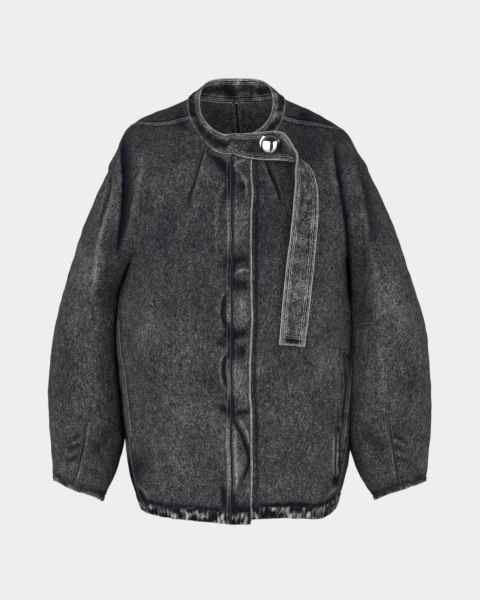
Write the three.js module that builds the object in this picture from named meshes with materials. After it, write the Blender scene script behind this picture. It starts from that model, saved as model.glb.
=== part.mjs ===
import * as THREE from "three";

// Millimetres. +X is the wearer's left, the front faces -Y and +Z is up. The origin is midway between the
// high points of the shoulders, where the wearer holds the jacket. A turn is an angle in degrees round the
// body: 0 at the middle of the front, 90 at the wearer's left side, 180 at the middle of the back.

// Cloth and seams
const clothThickness = 2;
const hemThickness = 3;
const strapThickness = 3;
const seamGap = 0.3;
const layerGap = 0.6;

// Heights up the side line, counted from the hem
const hemHeight = 23;
const underarmLevel = 427;
const armholeTopLevel = 600;
const neckLevel = 805;
const neckBlendLevel = 680;

// Across the front
const placketSeamX = -13;
const placketEdgeX = 23;
const placketColumns = 3;
const liftStartX = -62;
const liftEndX = -24;

// Stud
const studRadius = 17.5;
const studRingHeight = 3;
const studDomeHeight = 11;
const studX = 55;

// Pocket
const pocketTopLevel = 330;
const pocketBottomLevel = 124;
const pocketWeltWidth = 11;

// Numbers of cells
const hemToUnderarmRows = 16;
const armholeRows = 10;
const shoulderRows = 7;
const panelColumns = 10;
const sleeveRows = 19;
const collarRows = 2;
const strapColumns = 34;
const strapRows = 2;
const weltRows = 10;

// Each ring of the body meets the side line at side, and the middle of the front and back at front and back.
// A fullness of 2 makes it an ellipse, and more makes it squarer.
const bodyRings = [
  { at: 0, sideX: 176, sideY: 0, sideZ: -727, frontY: -120, frontZ: -757, backY: 116, backZ: -754, fullness: 2.3 },
  { at: 23, sideX: 184, sideY: 0, sideZ: -704, frontY: -127, frontZ: -734, backY: 123, backZ: -731, fullness: 2.3 },
  { at: 60, sideX: 194, sideY: 0, sideZ: -667, frontY: -134, frontZ: -692, backY: 131, backZ: -690, fullness: 2.3 },
  { at: 110, sideX: 203, sideY: 0, sideZ: -617, frontY: -140, frontZ: -636, backY: 138, backZ: -634, fullness: 2.3 },
  { at: 180, sideX: 209, sideY: 0, sideZ: -547, frontY: -145, frontZ: -560, backY: 143, backZ: -559, fullness: 2.3 },
  { at: 260, sideX: 213, sideY: 0, sideZ: -467, frontY: -147, frontZ: -476, backY: 146, backZ: -475, fullness: 2.3 },
  { at: 340, sideX: 212, sideY: 0, sideZ: -387, frontY: -146, frontZ: -393, backY: 146, backZ: -392, fullness: 2.3 },
  { at: 427, sideX: 206, sideY: 0, sideZ: -300, frontY: -143, frontZ: -306, backY: 144, backZ: -300, fullness: 2.25 },
  { at: 520, sideX: 219, sideY: 2, sideZ: -210, frontY: -141, frontZ: -250, backY: 141, backZ: -220, fullness: 2 },
  { at: 600, sideX: 236, sideY: 5, sideZ: -128, frontY: -137, frontZ: -205, backY: 137, backZ: -152, fullness: 1.82 },
  { at: 640, sideX: 217, sideY: 6, sideZ: -92, frontY: -132, frontZ: -184, backY: 133, backZ: -117, fullness: 1.86 },
  { at: 675, sideX: 200, sideY: 8, sideZ: -62, frontY: -127, frontZ: -166, backY: 127, backZ: -85, fullness: 1.92 },
  { at: 715, sideX: 169, sideY: 10, sideZ: -36, frontY: -121, frontZ: -146, backY: 118, backZ: -54, fullness: 2 },
  { at: 753, sideX: 136, sideY: 13, sideZ: -18, frontY: -115, frontZ: -128, backY: 106, backZ: -29, fullness: 2 },
  { at: 805, sideX: 88, sideY: 20, sideZ: 2, frontY: -108, frontZ: -102, backY: 88, backZ: -4, fullness: 2 },
];

// The collar's seam to the body and its upper edge, by turn, on either side of the middle
const collarRings = [
  { at: 0, seamX: 0, seamY: -108, seamZ: -102, edgeX: 0, edgeY: -88, edgeZ: -62 },
  { at: 25, seamX: 35, seamY: -100, seamZ: -96, edgeX: 26, edgeY: -76, edgeZ: -60 },
  { at: 45, seamX: 60, seamY: -82, seamZ: -74, edgeX: 46, edgeY: -50, edgeZ: -48 },
  { at: 65, seamX: 81, seamY: -52, seamZ: -42, edgeX: 62, edgeY: -20, edgeZ: -26 },
  { at: 85, seamX: 89, seamY: -16, seamZ: -14, edgeX: 66, edgeY: 8, edgeZ: 0 },
  { at: 105, seamX: 88, seamY: 22, seamZ: 2, edgeX: 62, edgeY: 32, edgeZ: 20 },
  { at: 130, seamX: 72, seamY: 58, seamZ: 3, edgeX: 52, edgeY: 54, edgeZ: 34 },
  { at: 155, seamX: 38, seamY: 80, seamZ: -2, edgeX: 30, edgeY: 72, edgeZ: 40 },
  { at: 180, seamX: 0, seamY: 88, seamZ: -4, edgeX: 0, edgeY: 78, edgeZ: 41 },
];
const collarShiftX = -5;

// Where the seams run, by level: the side seam below the arm and the shoulder seam above it
const sideSeam = [
  { at: 0, turn: 68 },
  { at: 110, turn: 69 },
  { at: 310, turn: 75 },
  { at: 427, turn: 87 },
];
const shoulderSeam = [
  { at: 600, turn: 94 },
  { at: 675, turn: 89 },
  { at: 715, turn: 75 },
  { at: 753, turn: 70 },
  { at: 805, turn: 70 },
];
const armholeFrontSpread = 33;
const armholeBackSpread = 34;

// Each ring of the sleeve runs from its outermost to its innermost point
const sleeveRings = [
  { at: 0, outX: 236, outZ: -128, inX: 206, inZ: -300, middleY: 4, depth: 84, sway: 0 },
  { at: 60, outX: 262, outZ: -185, inX: 210, inZ: -322, middleY: 3, depth: 83, sway: 0.3 },
  { at: 140, outX: 291, outZ: -258, inX: 213, inZ: -360, middleY: 2, depth: 82, sway: 0.8 },
  { at: 230, outX: 318, outZ: -345, inX: 214, inZ: -415, middleY: 0, depth: 82, sway: 1 },
  { at: 320, outX: 336, outZ: -432, inX: 213, inZ: -478, middleY: -3, depth: 83, sway: 1 },
  { at: 400, outX: 344, outZ: -512, inX: 210, inZ: -545, middleY: -6, depth: 80, sway: 0.9 },
  { at: 470, outX: 346, outZ: -580, inX: 206, inZ: -607, middleY: -8, depth: 72, sway: 0.6 },
  { at: 530, outX: 342, outZ: -638, inX: 214, inZ: -662, middleY: -10, depth: 61, sway: 0.3 },
  { at: 573, outX: 338, outZ: -678, inX: 240, inZ: -713, middleY: -11, depth: 50, sway: 0 },
  { at: 582, outX: 337, outZ: -686, inX: 245, inZ: -722, middleY: -11, depth: 47, sway: 0 },
];
const sleeveLength = 582;
const cuffHem = 9;
const sleeveBlend = 150;
const sleeveClearance = 2.5;
const sleeves = [
  { name: "left", side: 1, forward: 24, inward: 11 },
  { name: "right", side: -1, forward: -14, inward: -3 },
];

// The strap's two edges, from the middle of the collar to its hanging end. Top is the edge that is uppermost
// at the neck, and it crosses in front of the other where the strap folds over.
const strapEdges = [
  { topX: 4, topY: -93, topZ: -61, lowX: 4, lowY: -116, lowZ: -102 },
  { topX: 25, topY: -97, topZ: -60, lowX: 25, lowY: -116, lowZ: -106 },
  { topX: 45, topY: -104, topZ: -58, lowX: 45, lowY: -118, lowZ: -108 },
  { topX: 62, topY: -109, topZ: -56, lowX: 62, lowY: -121, lowZ: -108 },
  { topX: 77, topY: -114, topZ: -58, lowX: 80, lowY: -124, lowZ: -109 },
  { topX: 88, topY: -139, topZ: -68, lowX: 91, lowY: -119, lowZ: -110 },
  { topX: 97, topY: -152, topZ: -84, lowX: 99, lowY: -115, lowZ: -110 },
  { topX: 104, topY: -158, topZ: -98, lowX: 104, lowY: -112, lowZ: -108 },
  { topX: 103, topY: -159, topZ: -112, lowX: 115, lowY: -113, lowZ: -111 },
  { topX: 102, topY: -158, topZ: -130, lowX: 127, lowY: -117, lowZ: -122 },
  { topX: 101, topY: -153, topZ: -154, lowX: 137, lowY: -122, lowZ: -143 },
  { topX: 99, topY: -150, topZ: -176, lowX: 142, lowY: -126, lowZ: -173 },
  { topX: 93, topY: -146, topZ: -239, lowX: 140, lowY: -134, lowZ: -239 },
  { topX: 86, topY: -147, topZ: -292, lowX: 135, lowY: -138, lowZ: -292 },
  { topX: 78, topY: -150, topZ: -371, lowX: 127, lowY: -142, lowZ: -373 },
  { topX: 72, topY: -151, topZ: -440, lowX: 118, lowY: -143, lowZ: -444 },
];

// Soft folds in the body, each along a line from one point to the other as the front or back is seen.
// A height below nought is a trough.
const bodyFolds = [
  { face: -1, fromX: -8, fromZ: -128, toX: 26, toZ: -146, width: 16, height: -4 },
  { face: -1, fromX: -14, fromZ: -215, toX: 16, toZ: -222, width: 26, height: 4 },
  { face: -1, fromX: -20, fromZ: -296, toX: 30, toZ: -318, width: 17, height: -5 },
  { face: -1, fromX: -12, fromZ: -380, toX: 20, toZ: -376, width: 24, height: 4 },
  { face: -1, fromX: -26, fromZ: -436, toX: 26, toZ: -446, width: 16, height: -5 },
  { face: -1, fromX: -12, fromZ: -498, toX: 18, toZ: -504, width: 24, height: 4 },
  { face: -1, fromX: -24, fromZ: -560, toX: 26, toZ: -556, width: 16, height: -4 },
  { face: -1, fromX: -12, fromZ: -640, toX: 18, toZ: -634, width: 28, height: 4 },
  { face: -1, fromX: -122, fromZ: -300, toX: -136, toZ: -640, width: 34, height: 5 },
  { face: -1, fromX: -66, fromZ: -340, toX: -74, toZ: -690, width: 30, height: -4 },
  { face: -1, fromX: 96, fromZ: -470, toX: 84, toZ: -700, width: 32, height: -4 },
  { face: -1, fromX: 150, fromZ: -330, toX: 146, toZ: -640, width: 32, height: 4 },
  { face: -1, fromX: -152, fromZ: -120, toX: -172, toZ: -300, width: 26, height: 6 },
  { face: -1, fromX: 148, fromZ: -110, toX: 162, toZ: -290, width: 26, height: 6 },
  { face: 1, fromX: -150, fromZ: -120, toX: -160, toZ: -330, width: 28, height: 6 },
  { face: 1, fromX: 152, fromZ: -110, toX: 160, toZ: -320, width: 28, height: 6 },
  { face: 1, fromX: -84, fromZ: -260, toX: -104, toZ: -640, width: 36, height: 5 },
  { face: 1, fromX: 78, fromZ: -300, toX: 98, toZ: -680, width: 36, height: 5 },
  { face: 1, fromX: 2, fromZ: -380, toX: -4, toZ: -690, width: 34, height: -4 },
];

// Soft folds in the sleeves, by the angle round the sleeve (0 outermost, 90 in front) and the way along it
const sleeveFolds = [
  { fromTurn: 52, fromAt: 20, toTurn: 26, toAt: 210, width: 13, height: 6 },
  { fromTurn: 84, fromAt: 10, toTurn: 66, toAt: 250, width: 14, height: -6 },
  { fromTurn: 118, fromAt: 30, toTurn: 104, toAt: 330, width: 15, height: 6 },
  { fromTurn: 146, fromAt: 260, toTurn: 96, toAt: 350, width: 14, height: -5 },
  { fromTurn: 70, fromAt: 380, toTurn: 92, toAt: 560, width: 13, height: -4 },
  { fromTurn: 300, fromAt: 30, toTurn: 322, toAt: 240, width: 14, height: 6 },
  { fromTurn: 262, fromAt: 20, toTurn: 276, toAt: 300, width: 15, height: -6 },
  { fromTurn: 232, fromAt: 60, toTurn: 250, toAt: 360, width: 15, height: 5 },
  { fromTurn: 280, fromAt: 400, toTurn: 262, toAt: 560, width: 13, height: -4 },
];

const denimColour = 0x3d3d3f;
const steelColour = 0xd8dadc;
const degree = Math.PI / 180;
const half = seamGap / 2;

// Reads one column of a table at a place between its rows, as a smooth curve.
function readColumn(rows, name, place) {
  let i = 1;
  while (i < rows.length - 1 && rows[i].at < place) i += 1;
  const slopeAt = (k) => {
    const before = rows[Math.max(k - 1, 0)];
    const after = rows[Math.min(k + 1, rows.length - 1)];
    return (after[name] - before[name]) / (after.at - before.at);
  };
  const a = rows[i - 1];
  const b = rows[i];
  const span = b.at - a.at;
  const t = THREE.MathUtils.clamp((place - a.at) / span, 0, 1);
  const s = 1 - t;
  const bend = s * t * span * (s * slopeAt(i - 1) - t * slopeAt(i));
  return a[name] * s * s * (1 + 2 * t) + b[name] * t * t * (1 + 2 * s) + bend;
}

// The height of the folds in a table at a point of its plane: a soft ridge along each line.
function foldHeight(folds, across, along, ends) {
  let height = 0;
  for (const fold of folds) {
    const [fromA, fromB, toA, toB] = ends(fold);
    const runA = toA - fromA;
    const runB = toB - fromB;
    const length = Math.hypot(runA, runB);
    const t = ((across - fromA) * runA + (along - fromB) * runB) / length;
    const off = ((across - fromA) * runB - (along - fromB) * runA) / length;
    const past = Math.max(-t, t - length, 0);
    const taper = THREE.MathUtils.clamp(Math.min(t, length - t) / (0.35 * length) + 0.4, 0, 1);
    height += fold.height * taper * Math.exp(-((off / fold.width) ** 2) - (past / (1.5 * fold.width)) ** 2);
  }
  return height;
}

// A point on the collar: 0 at its seam and 1 at its upper edge.
function collarPoint(turn, height) {
  const round = Math.abs(THREE.MathUtils.euclideanModulo(turn + 180, 360) - 180);
  const side = Math.sin(turn * degree) < 0 ? -1 : 1;
  const read = (name) => readColumn(collarRings, name, round);
  const mix = THREE.MathUtils.lerp;
  const bulge = 5 * Math.sin(Math.PI * height) * Math.sin(round * degree) ** 2;
  return new THREE.Vector3(
    collarShiftX + side * (mix(read("seamX"), read("edgeX"), height) + bulge),
    mix(read("seamY"), read("edgeY"), height),
    mix(read("seamZ"), read("edgeZ"), height),
  );
}

function ringPoint(turn, level) {
  const read = (name) => readColumn(bodyRings, name, level);
  const sine = Math.sin(turn * degree);
  const cosine = Math.cos(turn * degree);
  const power = 2 / read("fullness");
  const across = Math.sign(sine) * Math.abs(sine) ** power;
  const deep = Math.abs(cosine) ** power;
  const face = cosine > 0 ? "front" : "back";
  return new THREE.Vector3(
    read("sideX") * across,
    THREE.MathUtils.lerp(read("sideY"), read(face + "Y"), deep),
    THREE.MathUtils.lerp(read("sideZ"), read(face + "Z"), deep * deep),
  );
}

// A point on the body before its folds. Towards the neck its rings take the shape of the collar's seam.
function plainBodyPoint(turn, level) {
  const share = THREE.MathUtils.smoothstep(level, neckBlendLevel, neckLevel);
  const shift = collarPoint(turn, 0).sub(ringPoint(turn, neckLevel));
  return ringPoint(turn, level).addScaledVector(shift, share);
}

function normalOf(surface, u, v, stepU, stepV) {
  const alongU = surface(u + stepU, v).sub(surface(u - stepU, v));
  const alongV = surface(u, v + stepV).sub(surface(u, v - stepV));
  return alongU.cross(alongV).normalize();
}

function bodyPoint(turn, level) {
  const point = plainBodyPoint(turn, level);
  const face = point.y < 5 ? -1 : 1;
  const near = bodyFolds.filter((fold) => fold.face === face);
  const below = 1 - THREE.MathUtils.smoothstep(level, neckLevel - 45, neckLevel - 8);
  const fade = below * THREE.MathUtils.smoothstep(Math.abs(point.y - 5), 15, 60);
  const height = fade * foldHeight(near, point.x, point.z, (f) => [f.fromX, f.fromZ, f.toX, f.toZ]);
  return point.addScaledVector(normalOf(plainBodyPoint, turn, level, 1.5, 2), height);
}

const bodyNormal = (turn, level) => normalOf(bodyPoint, turn, Math.min(level, neckLevel - 2), 1.5, 2);
const collarNormal = (turn, height) => normalOf(collarPoint, turn, height, 2, 0.05);

// The direction through the cloth at the neck, shared by the body and the collar
const neckNormal = (turn) => bodyNormal(turn, neckLevel).add(collarNormal(turn, 0.1)).normalize();

// The turn at which the body has the given x, near the middle of the front.
function turnAtX(x, level) {
  let low = -60;
  let high = 60;
  for (let i = 0; i < 40; i += 1) {
    const middle = (low + high) / 2;
    if (plainBodyPoint(middle, level).x < x) low = middle;
    else high = middle;
  }
  return (low + high) / 2;
}

// The armhole, by the angle round the sleeve: 0 on the shoulder, 90 in front, 180 under the arm.
function armholePlace(around) {
  const rise = (1 + Math.cos(around * degree)) / 2;
  const level = THREE.MathUtils.lerp(underarmLevel, armholeTopLevel, rise);
  const middle = THREE.MathUtils.lerp(readColumn(sideSeam, "turn", underarmLevel),
    readColumn(shoulderSeam, "turn", armholeTopLevel), rise);
  const spread = Math.sin(around * degree) > 0 ? armholeFrontSpread : armholeBackSpread;
  return { level, turn: middle - spread * Math.sin(around * degree) };
}

// The rows of every body panel, with the armhole's step where the row ends on the armhole
const bodyRows = [];
for (const level of [0, hemHeight - 2, hemHeight + 2]) bodyRows.push({ level });
const openRows = hemToUnderarmRows - 2;
for (let i = 1; i < openRows; i += 1) {
  bodyRows.push({ level: THREE.MathUtils.lerp(hemHeight + 2, underarmLevel, i / openRows) });
}
for (let i = 0; i <= armholeRows; i += 1) {
  const around = 180 * (1 - i / armholeRows);
  bodyRows.push({ level: armholePlace(around).level, around });
}
for (let i = 1; i <= shoulderRows; i += 1) {
  bodyRows.push({ level: THREE.MathUtils.lerp(armholeTopLevel, neckLevel, i / shoulderRows) });
}

// The turn of a panel's outer edge on a row, on the front or the back of the armhole
function outerTurn(row, face) {
  if (row.around !== undefined) return armholePlace(face === "front" ? row.around : -row.around).turn;
  return readColumn(row.level < underarmLevel ? sideSeam : shoulderSeam, "turn", row.level);
}

const hemPart = (level) => (level < hemHeight ? 1 : 0);
const onArmhole = (row) => row.around !== undefined;
const sleeveOf = (side) => sleeves.find((sleeve) => sleeve.side === side);

// A point of cloth on the body: outer and inner, raised by lift, and thicker in the hem.
function bodyCloth(turn, level, lift, normal) {
  const extra = (hemThickness - clothThickness) * hemPart(level);
  const outer = bodyPoint(turn, level).addScaledVector(normal, lift + extra / 2);
  const inner = outer.clone().addScaledVector(normal, -(clothThickness + extra));
  return { outer, inner };
}

// How far the right front rises to pass over the left one.
function overlapLift(x, level) {
  const raised = clothThickness + layerGap + (hemThickness - clothThickness) * hemPart(level);
  return raised * THREE.MathUtils.smoothstep(x, liftStartX, liftEndX);
}

// A point on a sleeve. Its ring leaves the armhole, and its inner side lies clear of the body.
function sleevePoint(sleeve, around, at) {
  const ringAt = (place) => {
    const read = (name) => readColumn(sleeveRings, name, place);
    const sway = read("sway");
    const out = new THREE.Vector3(read("outX"), 0, read("outZ"));
    const inside = new THREE.Vector3(read("inX") - sway * sleeve.inward, 0, read("inZ"));
    const point = out.lerp(inside, (1 - Math.cos(around * degree)) / 2);
    point.y = read("middleY") - sway * sleeve.forward - read("depth") * Math.sin(around * degree);
    return point;
  };
  const point = ringAt(at);
  const place = armholePlace(around);
  const armhole = bodyPoint(sleeve.side * place.turn, place.level);
  armhole.x *= sleeve.side;
  const fade = THREE.MathUtils.clamp(1 - at / sleeveBlend, 0, 1) ** 2;
  point.addScaledVector(armhole.sub(ringAt(0)), fade);
  point.x = Math.max(point.x, bodySideX(point.y, point.z) + sleeveClearance * Math.min(at / 25, 1));
  point.x *= sleeve.side;
  return point;
}

// The body's half width at a height below the arm, at the given depth.
function bodySideX(y, z) {
  const level = z - bodyRings[0].sideZ;
  if (level > underarmLevel || level < 0) return 0;
  const read = (name) => readColumn(bodyRings, name, level);
  const deep = Math.abs(y / read(y < 0 ? "frontY" : "backY"));
  if (deep >= 1) return 0;
  return read("sideX") * (1 - deep ** read("fullness")) ** (1 / read("fullness"));
}

function foldedSleevePoint(sleeve, around, at) {
  const plain = (a, b) => sleevePoint(sleeve, a, b);
  const round = THREE.MathUtils.euclideanModulo(around, 360);
  const height = foldHeight(sleeveFolds, round, at / 3, (f) => [f.fromTurn, f.fromAt / 3, f.toTurn, f.toAt / 3]);
  const ends = THREE.MathUtils.smoothstep(at, 0, 50) * (1 - THREE.MathUtils.smoothstep(at, 530, 572));
  const inside = THREE.MathUtils.smoothstep(Math.abs(round - 180), 20, 60);
  const out = normalOf(plain, around, Math.max(at, 2), 3, 2).multiplyScalar(sleeve.side);
  return plain(around, at).addScaledVector(out, height * ends * inside);
}

function sleeveNormal(sleeve, around, at) {
  const surface = (a, b) => foldedSleevePoint(sleeve, a, b);
  return normalOf(surface, around, Math.max(at, 2), 3, 2).multiplyScalar(sleeve.side);
}

// The direction through the cloth at the armhole, shared by the body and the sleeve
function armholeNormal(sleeve, around) {
  const place = armholePlace(around);
  const body = bodyNormal(sleeve.side * place.turn, place.level);
  return body.add(sleeveNormal(sleeve, around, 6)).normalize();
}

// Draws one edge of a sheet back along its surface, to leave the gap of a seam.
function drawBack(points, next, distance) {
  points.forEach((point, i) => {
    const move = next[i].outer.clone().sub(point.outer).setLength(distance);
    point.outer.add(move);
    point.inner.add(move);
  });
}

function leaveSeams(sheet, { start = 0, end = 0, bottom = 0, top = 0 }) {
  const column = (c) => sheet.map((row) => row.at(c));
  if (start) drawBack(column(0), column(1), start);
  if (end) drawBack(column(-1), column(-2), end);
  if (bottom) drawBack(sheet[0], sheet[1], bottom);
  if (top) drawBack(sheet.at(-1), sheet.at(-2), top);
  return sheet;
}

// A closed wall from a sheet: rows of points, each with an outer and an inner place.
function wall(name, sheet, colour = denimColour, metalness = 0) {
  const rows = sheet.length;
  const columns = sheet[0].length;
  const positions = [];
  for (const row of sheet) {
    for (const { outer, inner } of row) positions.push(...outer.toArray(), ...inner.toArray());
  }
  const outerOf = (r, c) => 2 * (r * columns + c);
  const index = [];
  const quad = (a, b, c, d) => index.push(a, b, c, a, c, d);
  for (let r = 0; r + 1 < rows; r += 1) {
    for (let c = 0; c + 1 < columns; c += 1) {
      const corners = [outerOf(r, c), outerOf(r, c + 1), outerOf(r + 1, c + 1), outerOf(r + 1, c)];
      const places = [sheet[r][c], sheet[r][c + 1], sheet[r + 1][c + 1], sheet[r + 1][c]];
      const turned = places[0].outer.distanceTo(places[2].outer) > places[1].outer.distanceTo(places[3].outer);
      const [a, b, d, e] = turned ? [...corners.slice(1), corners[0]] : corners;
      quad(a, b, d, e);
      index.push(a + 1, d + 1, b + 1, a + 1, e + 1, d + 1);
    }
  }
  const rim = (a, b) => quad(a, a + 1, b + 1, b);
  for (let c = 0; c + 1 < columns; c += 1) {
    rim(outerOf(0, c), outerOf(0, c + 1));
    rim(outerOf(rows - 1, c + 1), outerOf(rows - 1, c));
  }
  for (let r = 0; r + 1 < rows; r += 1) {
    rim(outerOf(r + 1, 0), outerOf(r, 0));
    rim(outerOf(r, columns - 1), outerOf(r + 1, columns - 1));
  }
  const geometry = new THREE.BufferGeometry();
  geometry.setAttribute("position", new THREE.Float32BufferAttribute(positions, 3));
  geometry.setIndex(signedVolume(positions, index) < 0 ? index.reverse() : index);
  geometry.computeVertexNormals();
  return namedMesh(name, geometry, colour, metalness);
}

function signedVolume(positions, index) {
  const corner = (i) => new THREE.Vector3().fromArray(positions, 3 * index[i]);
  let sum = 0;
  for (let i = 0; i < index.length; i += 3) sum += corner(i).dot(corner(i + 1).cross(corner(i + 2)));
  return sum;
}

function namedMesh(name, geometry, colour, metalness) {
  const roughness = metalness ? 0.08 : 0.9;
  const mesh = new THREE.Mesh(geometry, new THREE.MeshStandardMaterial({ color: colour, roughness, metalness }));
  mesh.name = name;
  return mesh;
}

// The turns of a panel's columns on a row, from its first edge to the side seam, armhole and shoulder. The
// first columns stand at the given x, and a panel with none starts at the middle of the back.
function panelTurns({ side, face, firstX = [] }, row) {
  const turns = firstX.map((x) => turnAtX(x, row.level));
  const from = turns.at(-1) ?? side * 180;
  const to = side * outerTurn(row, face);
  const open = panelColumns - Math.max(firstX.length - 1, 0);
  for (let c = turns.length ? 1 : 0; c <= open; c += 1) turns.push(THREE.MathUtils.lerp(from, to, c / open));
  return turns;
}

function bodyPanel(panel) {
  const { side, face, liftAt = () => 0 } = panel;
  const sheet = bodyRows.map((row) =>
    panelTurns(panel, row).map((turn, c) => {
      let normal = row.level === neckLevel ? neckNormal(turn) : bodyNormal(turn, row.level);
      const around = face === "front" ? row.around : -row.around;
      if (c === panelColumns && onArmhole(row)) normal = armholeNormal(sleeveOf(side), around);
      return bodyCloth(turn, row.level, liftAt(bodyPoint(turn, row.level).x, row.level), normal);
    }),
  );
  return wall(panel.name, leaveSeams(sheet, { start: half, end: half, top: half }));
}

// The placket's columns, which the left front shares where it lies underneath
const placketX = [];
for (let c = 0; c <= placketColumns; c += 1) {
  placketX.push(THREE.MathUtils.lerp(placketSeamX, placketEdgeX, c / placketColumns));
}

const panels = [
  { name: "front_left", side: 1, face: "front", firstX: placketX.slice(1) },
  { name: "back_left", side: 1, face: "back" },
  { name: "back_right", side: -1, face: "back" },
  { name: "front_right", side: -1, face: "front", firstX: [placketSeamX, placketSeamX - 22], liftAt: overlapLift },
];

function placket() {
  const raise = hemThickness - clothThickness;
  const sheet = bodyRows.map(({ level }) =>
    placketX.map((x) => {
      const turn = turnAtX(x, level);
      const normal = level === neckLevel ? neckNormal(turn) : bodyNormal(turn, level);
      const point = bodyCloth(turn, level, overlapLift(x, level), normal);
      point.outer.addScaledVector(normal, hemPart(level) ? 0 : raise);
      return point;
    }),
  );
  return wall("front_placket", leaveSeams(sheet, { start: half, top: half }));
}

// The places of the sleeve's rows, which are closer at the armhole and at the cuff's hem
const sleevePlaces = [];
const openLength = sleeveLength - cuffHem;
for (let r = 0; r < sleeveRows - 2; r += 1) sleevePlaces.push(openLength * (r / (sleeveRows - 2)) ** 1.08);
sleevePlaces.push(openLength - 1, openLength + 1, sleeveLength);

// Half a sleeve, from the underarm seam to the seam on its outer edge.
function sleeveHalf(sleeve, face) {
  const facing = face === "front" ? 1 : -1;
  const sheet = sleevePlaces.map((at) => {
    const extra = at > openLength ? hemThickness - clothThickness : 0;
    const points = [];
    for (let c = 0; c <= armholeRows; c += 1) {
      const around = facing * 180 * (1 - c / armholeRows);
      const normal = at === 0 ? armholeNormal(sleeve, around) : sleeveNormal(sleeve, around, at);
      const outer = foldedSleevePoint(sleeve, around, at).addScaledVector(normal, extra / 2);
      const inner = outer.clone().addScaledVector(normal, -(clothThickness + extra));
      points.push({ outer, inner });
    }
    return points;
  });
  return leaveSeams(sheet, { start: half, end: half, bottom: half });
}

function sleevePieces() {
  return sleeves.flatMap((sleeve) =>
    ["front", "back"].map((face) => wall("sleeve_" + sleeve.name + "_" + face, sleeveHalf(sleeve, face))),
  );
}

// The collar band runs from under the strap round the neck to the placket, with the columns of the panels.
const bandTurns = panels.flatMap((panel) => {
  const turns = panelTurns(panel, { level: neckLevel }).map((turn) => THREE.MathUtils.euclideanModulo(turn, 360));
  return panel.name === "front_left" ? turns : turns.sort((a, b) => a - b).slice(1);
});

function collarBand() {
  const sheet = [];
  for (let r = 0; r <= collarRows; r += 1) {
    sheet.push(bandTurns.map((turn) => {
      const outer = collarPoint(turn, r / collarRows);
      const out = r ? collarNormal(turn, r / collarRows) : neckNormal(turn);
      return { outer, inner: outer.clone().addScaledVector(out, -clothThickness) };
    }));
  }
  return wall("collar_band", leaveSeams(sheet, { bottom: 2 * seamGap }));
}

// The strap is a band between two curves, which is why it can turn over. It starts on the end of the band.
const strapStartTurn = turnAtX(placketSeamX - 8, neckLevel);
function strapEdge(prefix, height) {
  const rise = 2 * layerGap + strapThickness / 2;
  const start = collarPoint(strapStartTurn, height).addScaledVector(collarNormal(strapStartTurn, 0.5), rise);
  const rest = strapEdges.map((row) => new THREE.Vector3(row[prefix + "X"], row[prefix + "Y"], row[prefix + "Z"]));
  return new THREE.CatmullRomCurve3([start, ...rest], false, "centripetal");
}
const strapTop = strapEdge("top", 1);
const strapLow = strapEdge("low", 0.16);

function strapPoint(along, across) {
  const t = THREE.MathUtils.clamp(along, 0, 1);
  return strapTop.getPoint(t).lerp(strapLow.getPoint(t), across);
}
const strapNormal = (along, across) => normalOf(strapPoint, along, across, 0.004, 0.1).negate();

function collarStrap() {
  const sheet = [];
  for (let r = 0; r <= strapRows; r += 1) {
    const points = [];
    for (let c = 0; c <= strapColumns; c += 1) {
      const along = c / strapColumns;
      const middle = strapPoint(along, r / strapRows);
      const out = strapNormal(along, r / strapRows);
      const outer = middle.clone().addScaledVector(out, strapThickness / 2);
      const inner = middle.clone().addScaledVector(out, -strapThickness / 2);
      points.push({ outer, inner });
    }
    sheet.push(points);
  }
  return wall("collar_strap", sheet);
}

// The stud's ring and dome are turned about an axis square to the strap.
function studPieces() {
  let along = 0;
  while (strapPoint(along, 0.5).x < studX) along += 0.001;
  const out = strapNormal(along, 0.45);
  const seat = strapPoint(along, 0.42).addScaledVector(out, strapThickness / 2 + 0.9);
  const lathe = (name, outline) => {
    const points = outline.map(([radius, height]) => new THREE.Vector2(radius, height));
    const mesh = namedMesh(name, new THREE.LatheGeometry(points, 28), steelColour, 1);
    mesh.position.copy(seat);
    mesh.quaternion.setFromUnitVectors(new THREE.Vector3(0, 1, 0), out);
    return mesh;
  };
  const rimRadius = studRadius - 1.6;
  const ring = [[0, 0], [studRadius - 1, 0], [studRadius, 1], [studRadius - 0.4, 2.2], [rimRadius, studRingHeight]];
  ring.push([0, studRingHeight]);
  const dome = [[0, studRingHeight + seamGap]];
  const steps = 7;
  for (let i = 0; i <= steps; i += 1) {
    const angle = (i / steps) * 90 * degree;
    const radius = i === steps ? 0 : (rimRadius - 0.4) * Math.cos(angle);
    dome.push([radius, studRingHeight + seamGap + studDomeHeight * Math.sin(angle)]);
  }
  return [lathe("stud_ring", ring), lathe("stud_dome", dome)];
}

// A pocket's edge lies on the front panel, beside the side seam.
function pocketWelt({ name, side }) {
  const sheet = [];
  for (let r = 0; r <= weltRows; r += 1) {
    const level = THREE.MathUtils.lerp(pocketBottomLevel, pocketTopLevel, r / weltRows);
    const seamTurn = readColumn(sideSeam, "turn", level);
    const points = [0.8, 0.8 + pocketWeltWidth / 2, 0.8 + pocketWeltWidth].map((back) => {
      const turn = side * (seamTurn - back / 3.1);
      const out = bodyNormal(turn, level);
      const inner = bodyPoint(turn, level).addScaledVector(out, layerGap);
      return { inner, outer: inner.clone().addScaledVector(out, 1.2) };
    });
    sheet.push(points);
  }
  return wall("pocket_welt_" + name, sheet);
}

const group = new THREE.Group();
group.name = "denim_jacket";
group.add(...panels.map(bodyPanel), placket(), ...sleevePieces(), collarBand(), collarStrap(), ...studPieces());
group.add(...sleeves.map(pocketWelt));

export default group;
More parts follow.
